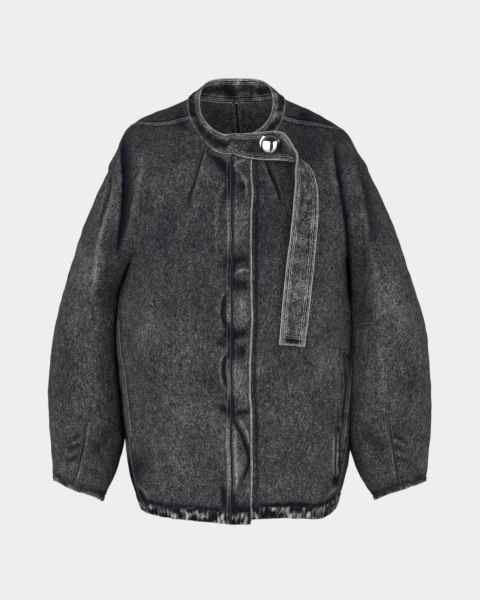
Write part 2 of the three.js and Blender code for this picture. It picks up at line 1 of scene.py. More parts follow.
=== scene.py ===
import math
import bpy
import numpy as np
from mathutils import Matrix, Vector


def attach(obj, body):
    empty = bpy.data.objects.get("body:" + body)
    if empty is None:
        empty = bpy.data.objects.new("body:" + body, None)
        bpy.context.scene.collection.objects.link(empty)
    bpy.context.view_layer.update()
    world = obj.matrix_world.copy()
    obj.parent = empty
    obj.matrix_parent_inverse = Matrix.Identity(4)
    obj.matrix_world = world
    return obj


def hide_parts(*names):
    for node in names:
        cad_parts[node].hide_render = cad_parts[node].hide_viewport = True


# The denim jacket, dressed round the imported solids. Sizes here are in millimetres until a mesh is made,
# with +X to the wearer's left, the front facing -Y and +Z up, as in the frame.

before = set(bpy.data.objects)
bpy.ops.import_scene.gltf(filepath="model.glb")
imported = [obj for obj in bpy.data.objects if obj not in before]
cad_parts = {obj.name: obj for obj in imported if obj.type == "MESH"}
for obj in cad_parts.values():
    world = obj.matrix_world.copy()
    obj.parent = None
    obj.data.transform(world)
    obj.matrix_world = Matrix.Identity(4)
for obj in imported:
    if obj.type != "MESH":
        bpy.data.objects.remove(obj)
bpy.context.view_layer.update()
print("frame loaded")

mm = 0.001
degree = math.pi / 180


# Tables: a row for each section, with named columns, read between rows as smooth curves.
def makeTable(names, *rows):
    columns = np.array(rows, float).T
    at = columns[0]
    last = len(at) - 1
    before = np.maximum(np.arange(len(at)) - 1, 0)
    after = np.minimum(np.arange(len(at)) + 1, last)
    table = {"at": at}
    for name, values in zip(names.split(), columns[1:]):
        table[name] = (values, (values[after] - values[before]) / (at[after] - at[before]))
    return table


def readTable(table, name, place):
    at = table["at"]
    values, slopes = table[name]
    place = np.asarray(place, float)
    i = np.clip(np.searchsorted(at, place), 1, len(at) - 1)
    span = at[i] - at[i - 1]
    t = np.clip((place - at[i - 1]) / span, 0, 1)
    s = 1 - t
    bend = s * t * span * (s * slopes[i - 1] - t * slopes[i])
    return values[i - 1] * s * s * (1 + 2 * t) + values[i] * t * t * (1 + 2 * s) + bend


def smoothStep(value, low, high):
    t = np.clip((value - low) / (high - low), 0, 1)
    return t * t * (3 - 2 * t)


# The cut, as in the frame's solids
jacket = {
    "cloth": 2.0,
    "layerGap": 0.6,
    "hem": 23,
    "underarm": 427,
    "armholeTop": 600,
    "neckBlend": 680,
    "neck": 805,
    "placketSeam": -13,
    "placketEdge": 23,
    "liftStart": -62,
    "liftEnd": -24,
    "frontSpread": 33,
    "backSpread": 34,
    "armholeFade": 150,
    "sleeveClear": 2.5,
    "sleeveClearStart": 25,
    "collarBulge": 5,
}
bodyRings = makeTable(
    "sideX sideY sideZ frontY frontZ backY backZ fullness",
    (0, 176, 0, -727, -120, -757, 116, -754, 2.3),
    (23, 184, 0, -704, -127, -734, 123, -731, 2.3),
    (60, 194, 0, -667, -134, -692, 131, -690, 2.3),
    (110, 203, 0, -617, -140, -636, 138, -634, 2.3),
    (180, 209, 0, -547, -145, -560, 143, -559, 2.3),
    (260, 213, 0, -467, -147, -476, 146, -475, 2.3),
    (340, 212, 0, -387, -146, -393, 146, -392, 2.3),
    (427, 206, 0, -300, -143, -306, 144, -300, 2.25),
    (520, 219, 2, -210, -141, -250, 141, -220, 2),
    (600, 236, 5, -128, -137, -205, 137, -152, 1.82),
    (640, 217, 6, -92, -132, -184, 133, -117, 1.86),
    (675, 200, 8, -62, -127, -166, 127, -85, 1.92),
    (715, 169, 10, -36, -121, -146, 118, -54, 2),
    (753, 136, 13, -18, -115, -128, 106, -29, 2),
    (805, 88, 20, 2, -108, -102, 88, -4, 2),
)
collarRings = makeTable(
    "seamX seamY seamZ edgeX edgeY edgeZ",
    (0, 0, -108, -102, 0, -88, -62),
    (25, 35, -100, -96, 26, -76, -60),
    (45, 60, -82, -74, 46, -50, -48),
    (65, 81, -52, -42, 62, -20, -26),
    (85, 89, -16, -14, 66, 8, 0),
    (105, 88, 22, 2, 62, 32, 20),
    (130, 72, 58, 3, 52, 54, 34),
    (155, 38, 80, -2, 30, 72, 40),
    (180, 0, 88, -4, 0, 78, 41),
)
collarShiftX = -5
sideSeam = makeTable("turn", (0, 68), (110, 69), (310, 75), (427, 87))
shoulderSeam = makeTable("turn", (600, 94), (675, 89), (715, 75), (753, 70), (805, 70))
sleeveRings = makeTable(
    "outX outZ inX inZ middleY depth sway",
    (0, 236, -128, 206, -300, 4, 84, 0),
    (60, 262, -185, 210, -322, 3, 83, 0.3),
    (140, 291, -258, 213, -360, 2, 82, 0.8),
    (230, 318, -345, 214, -415, 0, 82, 1),
    (320, 336, -432, 213, -478, -3, 83, 1),
    (400, 344, -512, 210, -545, -6, 80, 0.9),
    (470, 346, -580, 206, -607, -8, 72, 0.6),
    (530, 342, -638, 214, -662, -10, 61, 0.3),
    (573, 338, -678, 240, -713, -11, 50, 0),
    (582, 337, -686, 245, -722, -11, 47, 0),
)
sleeveLength = 582
sleeves = {
    "left": {"side": 1, "forward": 24, "inward": 11},
    "right": {"side": -1, "forward": -14, "inward": -3},
}
strapEdges = makeTable(
    "topX topY topZ lowX lowY lowZ",
    (1, 4, -93, -61, 4, -116, -102),
    (2, 25, -97, -60, 25, -116, -106),
    (3, 45, -104, -58, 45, -118, -108),
    (4, 62, -109, -56, 62, -121, -108),
    (5, 77, -114, -58, 80, -124, -109),
    (6, 88, -139, -68, 91, -119, -110),
    (7, 97, -152, -84, 99, -115, -110),
    (8, 104, -158, -98, 104, -112, -108),
    (9, 103, -159, -112, 115, -113, -111),
    (10, 102, -158, -130, 127, -117, -122),
    (11, 101, -153, -154, 137, -122, -143),
    (12, 99, -150, -176, 142, -126, -173),
    (13, 93, -146, -239, 140, -134, -239),
    (14, 86, -147, -292, 135, -138, -292),
    (15, 78, -150, -371, 127, -142, -373),
    (16, 72, -151, -440, 118, -143, -444),
)


def point(x, y, z):
    return np.stack(np.broadcast_arrays(x, y, z), axis=-1)


def unit(vectors):
    return vectors / np.maximum(np.linalg.norm(vectors, axis=-1, keepdims=True), 1e-9)


def collarPoint(turn, height):
    turn = np.asarray(turn, float)
    around = np.abs((turn + 180) % 360 - 180)
    side = np.where(np.sin(turn * degree) < 0, -1, 1)
    bulge = jacket["collarBulge"] * np.sin(math.pi * height) * np.sin(around * degree) ** 2

    def between(axis):
        seam = readTable(collarRings, "seam" + axis, around)
        return seam + (readTable(collarRings, "edge" + axis, around) - seam) * height

    return point(collarShiftX + side * (between("X") + bulge), between("Y"), between("Z"))


def ringPoint(turn, level):
    def read(name):
        return readTable(bodyRings, name, level)

    sine = np.sin(np.asarray(turn, float) * degree)
    cosine = np.cos(np.asarray(turn, float) * degree)
    power = 2 / read("fullness")
    deep = np.abs(cosine) ** power
    middleY = np.where(cosine > 0, read("frontY"), read("backY"))
    middleZ = np.where(cosine > 0, read("frontZ"), read("backZ"))
    x = read("sideX") * np.sign(sine) * np.abs(sine) ** power
    y = read("sideY") + (middleY - read("sideY")) * deep
    return point(x, y, read("sideZ") + (middleZ - read("sideZ")) * deep * deep)


def bodyPoint(turn, level):
    share = smoothStep(np.asarray(level, float), jacket["neckBlend"], jacket["neck"])
    shift = collarPoint(turn, 0) - ringPoint(turn, jacket["neck"])
    return ringPoint(turn, level) + shift * share[..., None]


def turnAtX(x, level):
    low = np.full(np.shape(level), -60.0)
    high = np.full(np.shape(level), 60.0)
    for _ in range(36):
        middle = (low + high) / 2
        below = bodyPoint(middle, level)[..., 0] < x
        low = np.where(below, middle, low)
        high = np.where(below, high, middle)
    return (low + high) / 2


def armholePlace(around):
    rise = (1 + np.cos(around * degree)) / 2
    level = jacket["underarm"] + (jacket["armholeTop"] - jacket["underarm"]) * rise
    low = readTable(sideSeam, "turn", jacket["underarm"])
    high = readTable(shoulderSeam, "turn", jacket["armholeTop"])
    spread = np.where(np.sin(around * degree) > 0, jacket["frontSpread"], jacket["backSpread"])
    return level, low + (high - low) * rise - spread * np.sin(around * degree)


def bodySideX(y, z):
    rise = z - bodyRings["sideZ"][0][0]
    level = np.clip(rise, 0, jacket["underarm"])
    middleY = np.where(y < 0, readTable(bodyRings, "frontY", level), readTable(bodyRings, "backY", level))
    deep = np.abs(y / middleY)
    full = readTable(bodyRings, "fullness", level)
    x = readTable(bodyRings, "sideX", level) * np.clip(1 - deep ** full, 0, 1) ** (1 / full)
    inside = (rise < jacket["underarm"]) & (z > bodyRings["sideZ"][0][0]) & (deep < 1)
    return np.where(inside, x, 0)


def sleevePoint(sleeve, around, at):
    around, at = np.broadcast_arrays(np.asarray(around, float), np.asarray(at, float))

    def ringAt(place):
        def read(name):
            return readTable(sleeveRings, name, place)

        inX = read("inX") - read("sway") * sleeve["inward"]
        inward = (1 - np.cos(around * degree)) / 2
        y = read("middleY") - read("sway") * sleeve["forward"] - read("depth") * np.sin(around * degree)
        x = read("outX") + (inX - read("outX")) * inward
        return point(x, y, read("outZ") + (read("inZ") - read("outZ")) * inward)

    level, turn = armholePlace(around)
    armhole = bodyPoint(sleeve["side"] * turn, level) * np.array([sleeve["side"], 1, 1])
    fade = np.clip(1 - at / jacket["armholeFade"], 0, 1) ** 2
    place = ringAt(at) + (armhole - ringAt(0 * at)) * fade[..., None]
    clear = jacket["sleeveClear"] * np.minimum(at / jacket["sleeveClearStart"], 1)
    clear = bodySideX(place[..., 1], place[..., 2]) + clear
    place[..., 0] = np.maximum(place[..., 0], clear) * sleeve["side"]
    return place


# A fold follows a line of points, as seen from in front or behind. Its two widths are those of its left and
# right sides going down. Height is in millimetres, below nought in a trough. Fade is how far the wash has
# lightened it; below nought it is darker, and in troughs, creases and beside raised edges that darkening is
# painted shade. Most points of the front were chosen on the photograph, and brought from its pixels to
# millimetres at 1.8 mm a pixel. Those of the back are guessed.
def fold(points, width, height, fade=0.0):
    points = np.array(points, float)
    return {"points": points, "width": np.broadcast_to(width, 2), "height": height, "fade": fade}


placketFolds = [
    fold([(-57.6, -84.6), (-37.8, -108), (-19.8, -129.6), (-12.6, -147.6)], 8.1, -2.6, -0.9),
    fold([(-12.6, -104.4), (-12.6, -180)], (5.4, 3.6), -1.0, -0.8),
    fold([(-10.8, -120.6), (-1.8, -111.6), (12.6, -108)], 2.3, 1.2, 0.6),
    fold([(-10.8, -118.8), (1.8, -129.6), (11.7, -144), (12.6, -172.8)], 2.3, 1.2, 0.6),
    fold([(-1.8, -151.2), (9, -162)], 5.8, -1.5, -0.6),
    fold([(-18, -140.4), (-30.6, -154.8), (-39.6, -180), (-43.2, -225), (-41.4, -255.6)], 3.6, 0.8, 0.3),
    fold([(-12.6, -144), (-23.4, -165.6), (-27, -180)], 5.4, -1, -0.45),
    fold([(-22.5, -172.8), (-20.7, -225), (-22.5, -273.6)], 2.9, 0.5, 0.5),
    fold([(-6.3, -180), (-5.4, -270)], 4, 0.4, 0.35),
    fold([(5.4, -189), (5.4, -261)], 10.8, 0.6, 0.25),
    fold([(-36, -291.6), (-12.6, -293.4), (16.2, -284.4)], 9.9, -2, -0.6),
    fold([(-12.6, -280.8), (-12.6, -342)], 7.2, -1.6, -0.7),
    fold([(-5.4, -331.2), (14.4, -331.2)], 10.8, -1.4, -0.6),
    fold([(-41.4, -280.8), (-30.6, -291.6), (-16.2, -299.7)], 2.2, 1.2, 0.45),
    fold([(-11.7, -320.4), (-5.4, -310.5), (5.4, -305.1), (19.8, -307.8)], 2.3, 1.4, 0.75),
    fold([(-19.8, -298.8), (-5.4, -298.8), (12.6, -291.6)], 2.2, 0.8, 0.25),
    fold([(-18, -343.8), (-27.9, -363.6), (-29.7, -388.8),
          (-21.6, -414), (-14.4, -424.8)], 3.4, -1.7, -0.7),
    fold([(-18, -336.6), (-31.5, -356.4), (-36, -381.6), (-31.5, -406.8), (-21.6, -423)], 2.2, 1.3, 0.45),
    fold([(-18.9, -369), (-18.9, -401.4)], 2.5, 0.3, 0.5),
    fold([(3.6, -352.8), (3.6, -406.8)], 12.6, 0.8, 0.35),
    fold([(-34.2, -432), (-12.6, -428.4), (16.2, -419.4)], 9, -2, -0.6),
    fold([(-12.6, -410.4), (-12.6, -471.6)], 6.3, -1.6, -0.8),
    fold([(-3.6, -455.4), (12.6, -455.4)], 10.8, -1.6, -0.7),
    fold([(-45, -430.2), (-34.2, -424.8), (-21.6, -433.8), (-14.4, -442.8)], 2.2, 1.1, 0.4),
    fold([(-10.8, -435.6), (3.6, -437.4), (18, -428.4)], 2.2, 1.2, 0.5),
    fold([(-37.8, -442.8), (-27, -453.6), (-18, -450)], 2, 1.0, 0.4),
    fold([(-41.4, -439.2), (-27, -441)], 2.9, -1.0, -0.5),
    fold([(-18, -453.6), (-26.1, -471.6), (-28.8, -493.2), (-23.4, -518.4)], 3.4, -1.5, -0.65),
    fold([(-23.4, -453.6), (-32.4, -469.8), (-35.1, -489.6),
          (-32.4, -509.4), (-27.9, -520.2)], 2.2, 1.2, 0.6),
    fold([(-19.8, -482.4), (-19.8, -536.4)], 2.5, 0.3, 0.45),
    fold([(1.8, -482.4), (1.8, -532.8)], 12.6, 0.8, 0.4),
    fold([(-6.3, -478.8), (-6.3, -536.4)], 2.5, 0.3, 0.3),
    fold([(-36, -556.2), (-12.6, -559.8)], 7.6, -2.2, -0.8),
    fold([(-12.6, -532.8), (-12.6, -576)], 7.2, -1.6, -0.8),
    fold([(-5.4, -563.4), (19.8, -560.7)], 4.7, -1.8, -0.75),
    fold([(-25.2, -540), (-23.4, -552.6), (-16.2, -561.6)], 2, 1.0, 0.5),
    fold([(1.8, -549), (-5.4, -559.8), (-12.6, -568.8)], 1.8, 0.8, 0.3),
    fold([(-30.6, -561.6), (-21.6, -565.2)], 1.8, 0.8, 0.35),
    fold([(-9.9, -574.2), (1.8, -597.6), (11.7, -622.8),
          (18, -644.4), (14.4, -666), (2.7, -694.8)], 3.4, -1.8, -0.95),
    fold([(0, -570.6), (12.6, -597.6), (20.7, -622.8)], 2.3, 1.2, 0.7),
    fold([(-19.8, -579.6), (-18.9, -711)], 3.1, 0.5, 0.5),
    fold([(-6.3, -594), (-5.4, -705.6)], 3.2, 0.5, 0.6),
    fold([(1.8, -639), (0, -684)], 9, 0.4, 0.2),
    fold([(-30.6, -691.2), (-26.1, -734.4)], 4.7, -1.4, -0.8),
    fold([(-12.6, -705.6), (-12.6, -756)], 5.8, -1.4, -0.8),
    fold([(-9, -734.4), (19.8, -729)], 7.2, -1.2, -0.45),
    fold([(-1.8, -729), (9, -716.4), (19.8, -696.6)], 2.2, 0.8, 0.3),
]
chestFolds = [
    fold([(-60.3, -77.4), (-73.8, -122.4), (-93.6, -194.4)], 2.5, -1.8, -0.9),
    fold([(-54.9, -82.8), (-67.5, -122.4), (-87.3, -189)], 2, 0.8, 0.4),
    fold([(-100.8, -55.8), (-93.6, -61.2), (-88.2, -52.2)], 1.8, 0.8, 0.6),
    fold([(-61.2, -171), (-93.6, -219.6), (-124.2, -270)], 7.2, 1.5, 0.15),
    fold([(47.7, -108), (79.2, -190.8)], 2.5, -1.8, -0.9),
    fold([(41.4, -108), (72, -189)], 2, 0.8, 0.35),
    fold([(-115.2, -32.4), (-79.2, -46.8)], 14.4, 0, -0.55),
    fold([(113.4, -21.6), (120.6, -43.2)], 10.8, 0, -0.4),
    fold([(-208, -68), (-207, -108), (-206, -148),
          (-208, -189), (-212, -230), (-218, -274)], (4.5, 13), -8, -0.7),
    fold([(-208, -90), (-207, -148), (-208.5, -189), (-212.5, -230), (-218.5, -274)], 2.2, -1, -0.9),
    fold([(-212.4, -63), (-212.4, -144), (-213.3, -225)], (9, 4.5), 2.5, 0.2),
    fold([(-180, -104.4), (-177.3, -122.4), (-180, -147.6),
          (-189, -185.4), (-199.8, -225), (-209.7, -266.4)], (3, 6), 2.5, 0.4),
    fold([(171, -63), (178.2, -108), (182.7, -144), (188.1, -185.4),
          (192.6, -232.2), (196.2, -297), (199.8, -360)], (3, 7), -5, -0.55),
    fold([(173, -90), (180, -135), (188.5, -190), (193, -232), (197, -297), (200, -370)], 2.2, -1, -1.1),
    fold([(163.8, -75.6), (169.2, -117), (172.8, -162)], (7.2, 4.5), 2, 0.25),
    fold([(203.4, -75.6), (212.4, -117), (221.4, -162), (228.6, -207),
          (234, -252), (243, -306), (253.8, -360)], (10.8, 4.5), 2.5, 0.2),
    fold([(214.2, -108), (226.8, -162), (235.8, -216), (241.2, -261)], (3.6, 10.8), -2.5, -0.4),
    fold([(-225.7, -140.4), (-232.2, -180), (-246.6, -231.5),
          (-255.6, -270), (-259.2, -315), (-266.4, -360)], (3, 4.5), 1.8, 0.5),
    fold([(-230.4, -144), (-237.6, -183.6), (-251.1, -226.8)], 2.7, -2, -0.7),
    fold([(-235.8, -136.8), (-243, -172.8), (-252, -207)], 2.2, 0.8, 0.3),
    fold([(-201.6, -612), (-199.8, -644.4), (-190.8, -673.2),
          (-174.6, -696.6), (-156.6, -718.2)], 2.5, 1.6, 0.6),
    fold([(-201.6, -662.4), (-190.8, -689.4), (-176.4, -712.8)], (10.8, 7.2), -3, -1.0),
    fold([(174.6, -601.2), (174.6, -673.2)], 1.8, -0.8, -0.8),
    fold([(181.8, -601.2), (181.8, -673.2)], 1.8, -0.8, -0.8),
    fold([(170.1, -601.2), (170.1, -673.2)], 2, 0.4, 0.35),
    fold([(169.2, -684), (181.8, -687.6)], 7.2, -2, -0.9),
    fold([(163.8, -709.2), (176.4, -698.4)], 2.7, 0.6, 0.6),
    fold([(171, -590.4), (183.6, -592.2)], 4.7, -0.6, -0.7),
    fold([(-135, -252), (-156.6, -414), (-167.4, -576)], 32.4, 5),
    fold([(-64.8, -342), (-72, -684)], 30.6, -4),
    fold([(95.4, -468), (84.6, -702)], 30.6, -4),
    fold([(149.4, -324), (145.8, -630)], 30.6, 4),
    fold([(-145.8, -144), (-167.4, -306)], 25.2, 5, 0.05),
    fold([(147.6, -126), (162, -291.6)], 23.4, 5, 0.05),
    fold([(109.8, -360), (138.6, -414), (149.4, -504)], 16.2, 2.2, 0.08),
    fold([(-97.2, -504), (-113.4, -594), (-106.2, -684)], 14.4, 2.4, 0.1),
    fold([(59.4, -540), (66.6, -648)], 14.4, 2.2, 0.08),
    fold([(-160.2, -360), (-178.2, -450)], 12.6, 2.4, 0.1),
    fold([(-216, -468), (-203.4, -482.4)], 4, -2, -0.6),
    fold([(-217.8, -489.6), (-203.4, -496.8)], 2.9, 1.2, 0.3),
    # No height, only darker: painted shadow cast by the placket's free edge onto the panel beside it
    fold([(31.5, -108), (30.6, -288), (28.8, -450), (30.6, -594), (31.5, -720)], (1.8, 3.6), 0, -0.6),
    fold([(188.1, -453.6), (192.6, -513), (189, -549), (186.3, -597.6)], 2, -0.8, -0.8),
    fold([(181.8, -549), (181.8, -594)], 2, 0.3, 0.35),
    fold([(187.2, -459), (199.8, -460.8)], 3.6, -0.4, -0.5),
    fold([(176.4, -631.8), (189, -631.8)], 2.9, -0.4, -0.7),
    fold([(176.4, -639), (187.2, -639)], 2.2, 0.4, 0.5),
    fold([(-198.9, -651.6), (-194.4, -684), (-181.8, -714.6), (-160.2, -723.6)], (2.7, 5.8), -2, -1.0),
    fold([(-207, -574.2), (-198, -619.2)], 2.2, -1, -0.6),
    fold([(-200.7, -612), (-195.3, -651.6), (-189, -682.2),
          (-176.4, -709.2), (-158.4, -720)], 1.8, 0.6, 0.7),
    # No height, only darker: painted shade low on the wearer's right side, where the cloth turns away round
    # the side
    fold([(-201.6, -644.4), (-194.4, -669.6), (-185.4, -694.8), (-169.2, -716.4)], (8.1, 6.1), 0, -1.4),
    fold([(198, -489.6), (192.6, -556.2), (185.4, -633.6)], 2.9, 0.3, 0.5),
    fold([(178.2, -601.2), (178.2, -673.2)], 1.6, 0.3, 0.7),
    fold([(171.9, -601.2), (171.9, -666)], 1.6, 0.3, 0.5),
    fold([(174.6, -570.6), (199.8, -570.6)], 9, 0, -0.6),
]
sleeveFolds = [
    fold([(-272.7, -569.7), (-286.2, -633.6), (-302.4, -702)], 2.3, -1.8, -0.5),
    fold([(-268.2, -576), (-281.7, -633.6), (-297, -698.4)], 2, 0.8, 0.4),
    fold([(-286.2, -601.2), (-304.2, -612)], 3.1, -1.2, -0.45),
    fold([(-289.8, -621), (-311.4, -630)], 3.1, -1.2, -0.4),
    fold([(-293.4, -642.6), (-315, -649.8)], 3.1, -1.2, -0.45),
    fold([(-289.8, -612), (-307.8, -621)], 2.3, 0.9, 0.4),
    fold([(-293.4, -631.8), (-313.2, -639)], 2.3, 0.9, 0.4),
    fold([(268.2, -577.8), (279, -639), (288, -699.3)], 2.3, -1.8, -0.5),
    fold([(263.7, -583.2), (274.5, -639), (283.5, -696.6)], 2, 0.8, 0.4),
    fold([(275.4, -601.2), (295.2, -612)], 3.1, -1.2, -0.45),
    fold([(279, -622.8), (298.8, -631.8)], 3.1, -1.2, -0.4),
    fold([(282.6, -644.4), (302.4, -651.6)], 3.1, -1.2, -0.45),
    fold([(277.2, -612), (297, -622.8)], 2.3, 0.9, 0.4),
    fold([(280.8, -633.6), (300.6, -642.6)], 2.3, 0.9, 0.4),
    fold([(-261, -297), (-282.6, -360), (-300.6, -441)], 16.2, 3, 0.1),
    fold([(-304.2, -414), (-311.4, -486), (-307.8, -540)], 14.4, -2.8, -0.15),
    fold([(-250.2, -396), (-261, -504), (-264.6, -558)], 12.6, 2.2, 0.1),
    fold([(-228.6, -234), (-235.8, -324), (-239.4, -396)], 10.8, -2.4, -0.25),
    fold([(261, -297), (282.6, -378), (297, -450)], 16.2, 3, 0.1),
    fold([(304.2, -414), (309.6, -486), (304.2, -540)], 14.4, -2.8, -0.15),
    fold([(253.8, -432), (261, -540)], 12.6, 2.2, 0.1),
    fold([(225, -252), (228.6, -360), (232.2, -414)], 10.8, -2.4, -0.25),
    fold([(-232.2, -594), (-261, -639)], 9, -2.2, -0.3),
    fold([(228.6, -594), (257.4, -633.6)], 9, -2.2, -0.3),
]
backFolds = [
    fold([(-151.2, -117), (-163.8, -333)], 27, 6),
    fold([(151.2, -111.6), (158.4, -320.4)], 27, 6),
    fold([(-84.6, -261), (-102.6, -639)], 34.2, 5),
    fold([(77.4, -297), (97.2, -680.4)], 34.2, 5),
    fold([(1.8, -378), (-3.6, -684)], 32.4, -4),
    fold([(-201.6, -72), (-192.6, -147.6), (-196.2, -201.6), (-207, -273.6)], (10.8, 12.6), -8, -0.9),
    fold([(199.8, -72), (190.8, -147.6), (194.4, -201.6), (205.2, -273.6)], (12.6, 10.8), -8, -0.9),
    fold([(-180, -108), (-180, -151.2), (-199.8, -230.4)], (4.5, 9), 3, 0.3),
    fold([(178.2, -108), (178.2, -151.2), (198, -230.4)], (9, 4.5), 3, 0.3),
    fold([(-120.6, -180), (-149.4, -302.4)], 14.4, 2.6, 0.15),
    fold([(127.8, -189), (145.8, -309.6)], 14.4, 2.6, 0.15),
    fold([(-59.4, -52.2), (-95.4, -75.6), (-127.8, -95.4)], 10.8, -2.2, -0.3),
    fold([(64.8, -50.4), (99, -72), (124.2, -90)], 10.8, -2.2, -0.3),
    fold([(-39.6, -558), (-55.8, -630), (-59.4, -691.2)], 14.4, 2.4, 0.1),
    fold([(52.2, -468), (41.4, -549), (45, -612)], 14.4, 2.4, 0.1),
    fold([(-149.4, -468), (-142.2, -549), (-138.6, -621)], 14.4, -2.2, -0.1),
    fold([(149.4, -421.2), (142.2, -531), (136.8, -601.2)], 14.4, 2.2, 0.1),
    fold([(-257.4, -360), (-286.2, -450), (-300.6, -540)], 16.2, 3, 0.1),
    fold([(257.4, -360), (286.2, -450), (300.6, -540)], 16.2, 3, 0.1),
    fold([(-235.8, -432), (-250.2, -540)], 12.6, -2.4, -0.2),
    fold([(235.8, -432), (250.2, -540)], 12.6, -2.4, -0.2),
    fold([(-228.6, -140.4), (-243, -225), (-253.8, -291.6)], (5.4, 7.2), 3, 0.4),
    fold([(228.6, -140.4), (243, -225), (253.8, -291.6)], (7.2, 5.4), 3, 0.4),
    fold([(-268.2, -583.2), (-293.4, -698.4)], 2.5, -1.6, -0.7),
    fold([(268.2, -583.2), (293.4, -698.4)], 2.5, -1.6, -0.7),
]


def foldShape(line, x, z):
    points = line["points"]
    away = np.full(x.shape, 1e9)
    side = np.zeros(x.shape)
    run = np.zeros(x.shape)
    before = 0.0
    for start, end in zip(points[:-1], points[1:]):
        step = end - start
        length = np.hypot(*step)
        share = np.clip(((x - start[0]) * step[0] + (z - start[1]) * step[1]) / length ** 2, 0, 1)
        distance = np.hypot(x - start[0] - step[0] * share, z - start[1] - step[1] * share)
        closer = distance < away
        away = np.where(closer, distance, away)
        side = np.where(closer, (x - start[0]) * step[1] - (z - start[1]) * step[0], side)
        run = np.where(closer, before + share * length, run)
        before += length
    share = run / before
    taper = smoothStep(np.minimum(share, 1 - share), -0.12, 0.22)
    width = np.where(side > 0, line["width"][0], line["width"][1])
    return taper * np.exp(-((away / width) ** 2))


def foldField(folds, x, z):
    height = np.zeros(x.shape)
    fade = np.zeros(x.shape)
    for line in folds:
        reach = 3 * line["width"].max()
        low, high = line["points"].min(axis=0) - reach, line["points"].max(axis=0) + reach
        near = (x > low[0]) & (x < high[0]) & (z > low[1]) & (z < high[1])
        if near.any():
            shape = foldShape(line, x[near], z[near])
            height[near] += line["height"] * shape
            fade[near] += line["fade"] * shape
    return height, fade


# Soft unevenness: many seeded plane waves of about one wavelength, summed.
def softNoise(places, size, seed, waves=20):
    source = np.random.default_rng(seed)
    total = np.zeros(places.shape[:-1])
    for _ in range(waves):
        direction = unit(source.normal(size=3))
        wavelength = size * source.uniform(0.7, 1.5)
        total += np.cos(places @ direction * (2 * math.pi / wavelength) + source.uniform(0, 6.28))
    return total / math.sqrt(waves / 2)


def softShift(places, size, amount, seed):
    return amount * np.stack([softNoise(places, size, seed + 100 * axis) for axis in range(3)], axis=-1)


# A sheet is a grid of points with its normals, the distance in millimetres from each of its four edges, and
# the fade that the denim reads, which holds wash and wear, and painted shade in troughs and seams.
def makeSheet(places, outward):
    across = np.linalg.norm(np.diff(places, axis=1), axis=-1)
    up = np.linalg.norm(np.diff(places, axis=0), axis=-1)
    fromStart = np.concatenate([np.zeros((places.shape[0], 1)), np.cumsum(across, axis=1)], axis=1)
    fromBottom = np.concatenate([np.zeros((1, places.shape[1])), np.cumsum(up, axis=0)], axis=0)
    return {
        "places": places,
        "normals": gridNormals(places, outward),
        "fromStart": fromStart,
        "fromEnd": fromStart[:, -1:] - fromStart,
        "fromBottom": fromBottom,
        "fromTop": fromBottom[-1:] - fromBottom,
        "fade": np.zeros(places.shape[:2]),
        "outward": outward,
    }


def gridNormals(places, outward):
    return unit(np.cross(np.gradient(places, axis=1), np.gradient(places, axis=0))) * outward


def renewNormals(sheet):
    sheet["normals"] = gridNormals(sheet["places"], sheet["outward"])


def raiseSheet(sheet, height, fade=0.0):
    sheet["places"] = sheet["places"] + sheet["normals"] * np.asarray(height)[..., None]
    sheet["fade"] = sheet["fade"] + fade


def bump(distance, middle, width):
    return np.exp(-(((distance - middle) / width) ** 2))


# Places where the cloth swells out or sinks in: a middle and a reach, as seen from in front, and its shift
swells = makeTable(
    "z reach shiftX shiftZ",
    (-345, -650, 80, 5, 0),
    (-222, -102, 28, -1.5, 1),
    (-198, -50, 50, -6, 6),
    (-195, -690, 50, -5, 0),
    (46, 40, 26, 7, 5),
    (222, -90, 60, -4, -2),
    (340, -455, 70, 5, 0),
)
# How much lower the front hem hangs, by its place across
hemDrops = makeTable(
    "drop",
    (-190, 2), (-165, 11), (-120, 9), (-60, 6), (20, 5), (22, -2),
    (80, 0), (115, 9), (140, 15), (165, 11), (186, 0),
)


# Where the cloth is darker or paler, in places laid out as above: the wash's own uneven tone, with painted
# shade in the darker spots at the shoulders and upper chest and low on the wearer's right side.
washAndShadeSpots = makeTable(
    "z reach fade",
    (-330, -300, 60, 0.15),
    (-190, -660, 26, -0.5),
    (-170, -70, 85, -0.1),
    (-110, -250, 110, -0.14),
    (-20, -640, 60, 0.1),
    (30, -240, 60, -0.15),
    (130, -60, 80, -0.22),
    (140, -620, 90, 0.05),
    (300, -430, 110, 0.12),
)


def nearPlaces(table, places, *names):
    for i, middleX in enumerate(table["at"]):
        middleZ, reach, *amounts = (table[key][0][i] for key in ("z", "reach", *names))
        near = np.exp(-((places[..., 0] - middleX) ** 2 + (places[..., 2] - middleZ) ** 2) / reach ** 2)
        yield near, amounts


def washAndShadeFade(places):
    fade = np.zeros(places.shape[:-1])
    for near, (amount,) in nearPlaces(washAndShadeSpots, places, "fade"):
        fade += amount * near
    return fade


sideLook = {
    "swell": 11,
    "swellMiddle": (-45, -430),
    "swellReach": (38, 125),
    "lean": 3.6,
}


# The wearer's right side of the body bulges in front of the sleeve
def sideSwell(places):
    x, y, z = np.moveaxis(places, -1, 0)
    middleY, middleZ = sideLook["swellMiddle"]
    reachY, reachZ = sideLook["swellReach"]
    share = np.exp(-((y - middleY) / reachY) ** 2 - ((z - middleZ) / reachZ) ** 2)
    share = share * smoothStep(-x, 140, 205) * smoothStep(-z, 300, 345)
    return share[..., None] * np.array([-sideLook["swell"], 0, 0])


# The sleeves hang close against the sides
def sleeveLean(places):
    x, y, z = np.moveaxis(places, -1, 0)
    below = smoothStep(-z, 285, 315)
    share = (1 - smoothStep(np.abs(x), 214, 246)) * below * (1 - smoothStep(-z, 600, 650))
    return (share * np.sign(x))[..., None] * np.array([-sideLook["lean"], 0, 0])


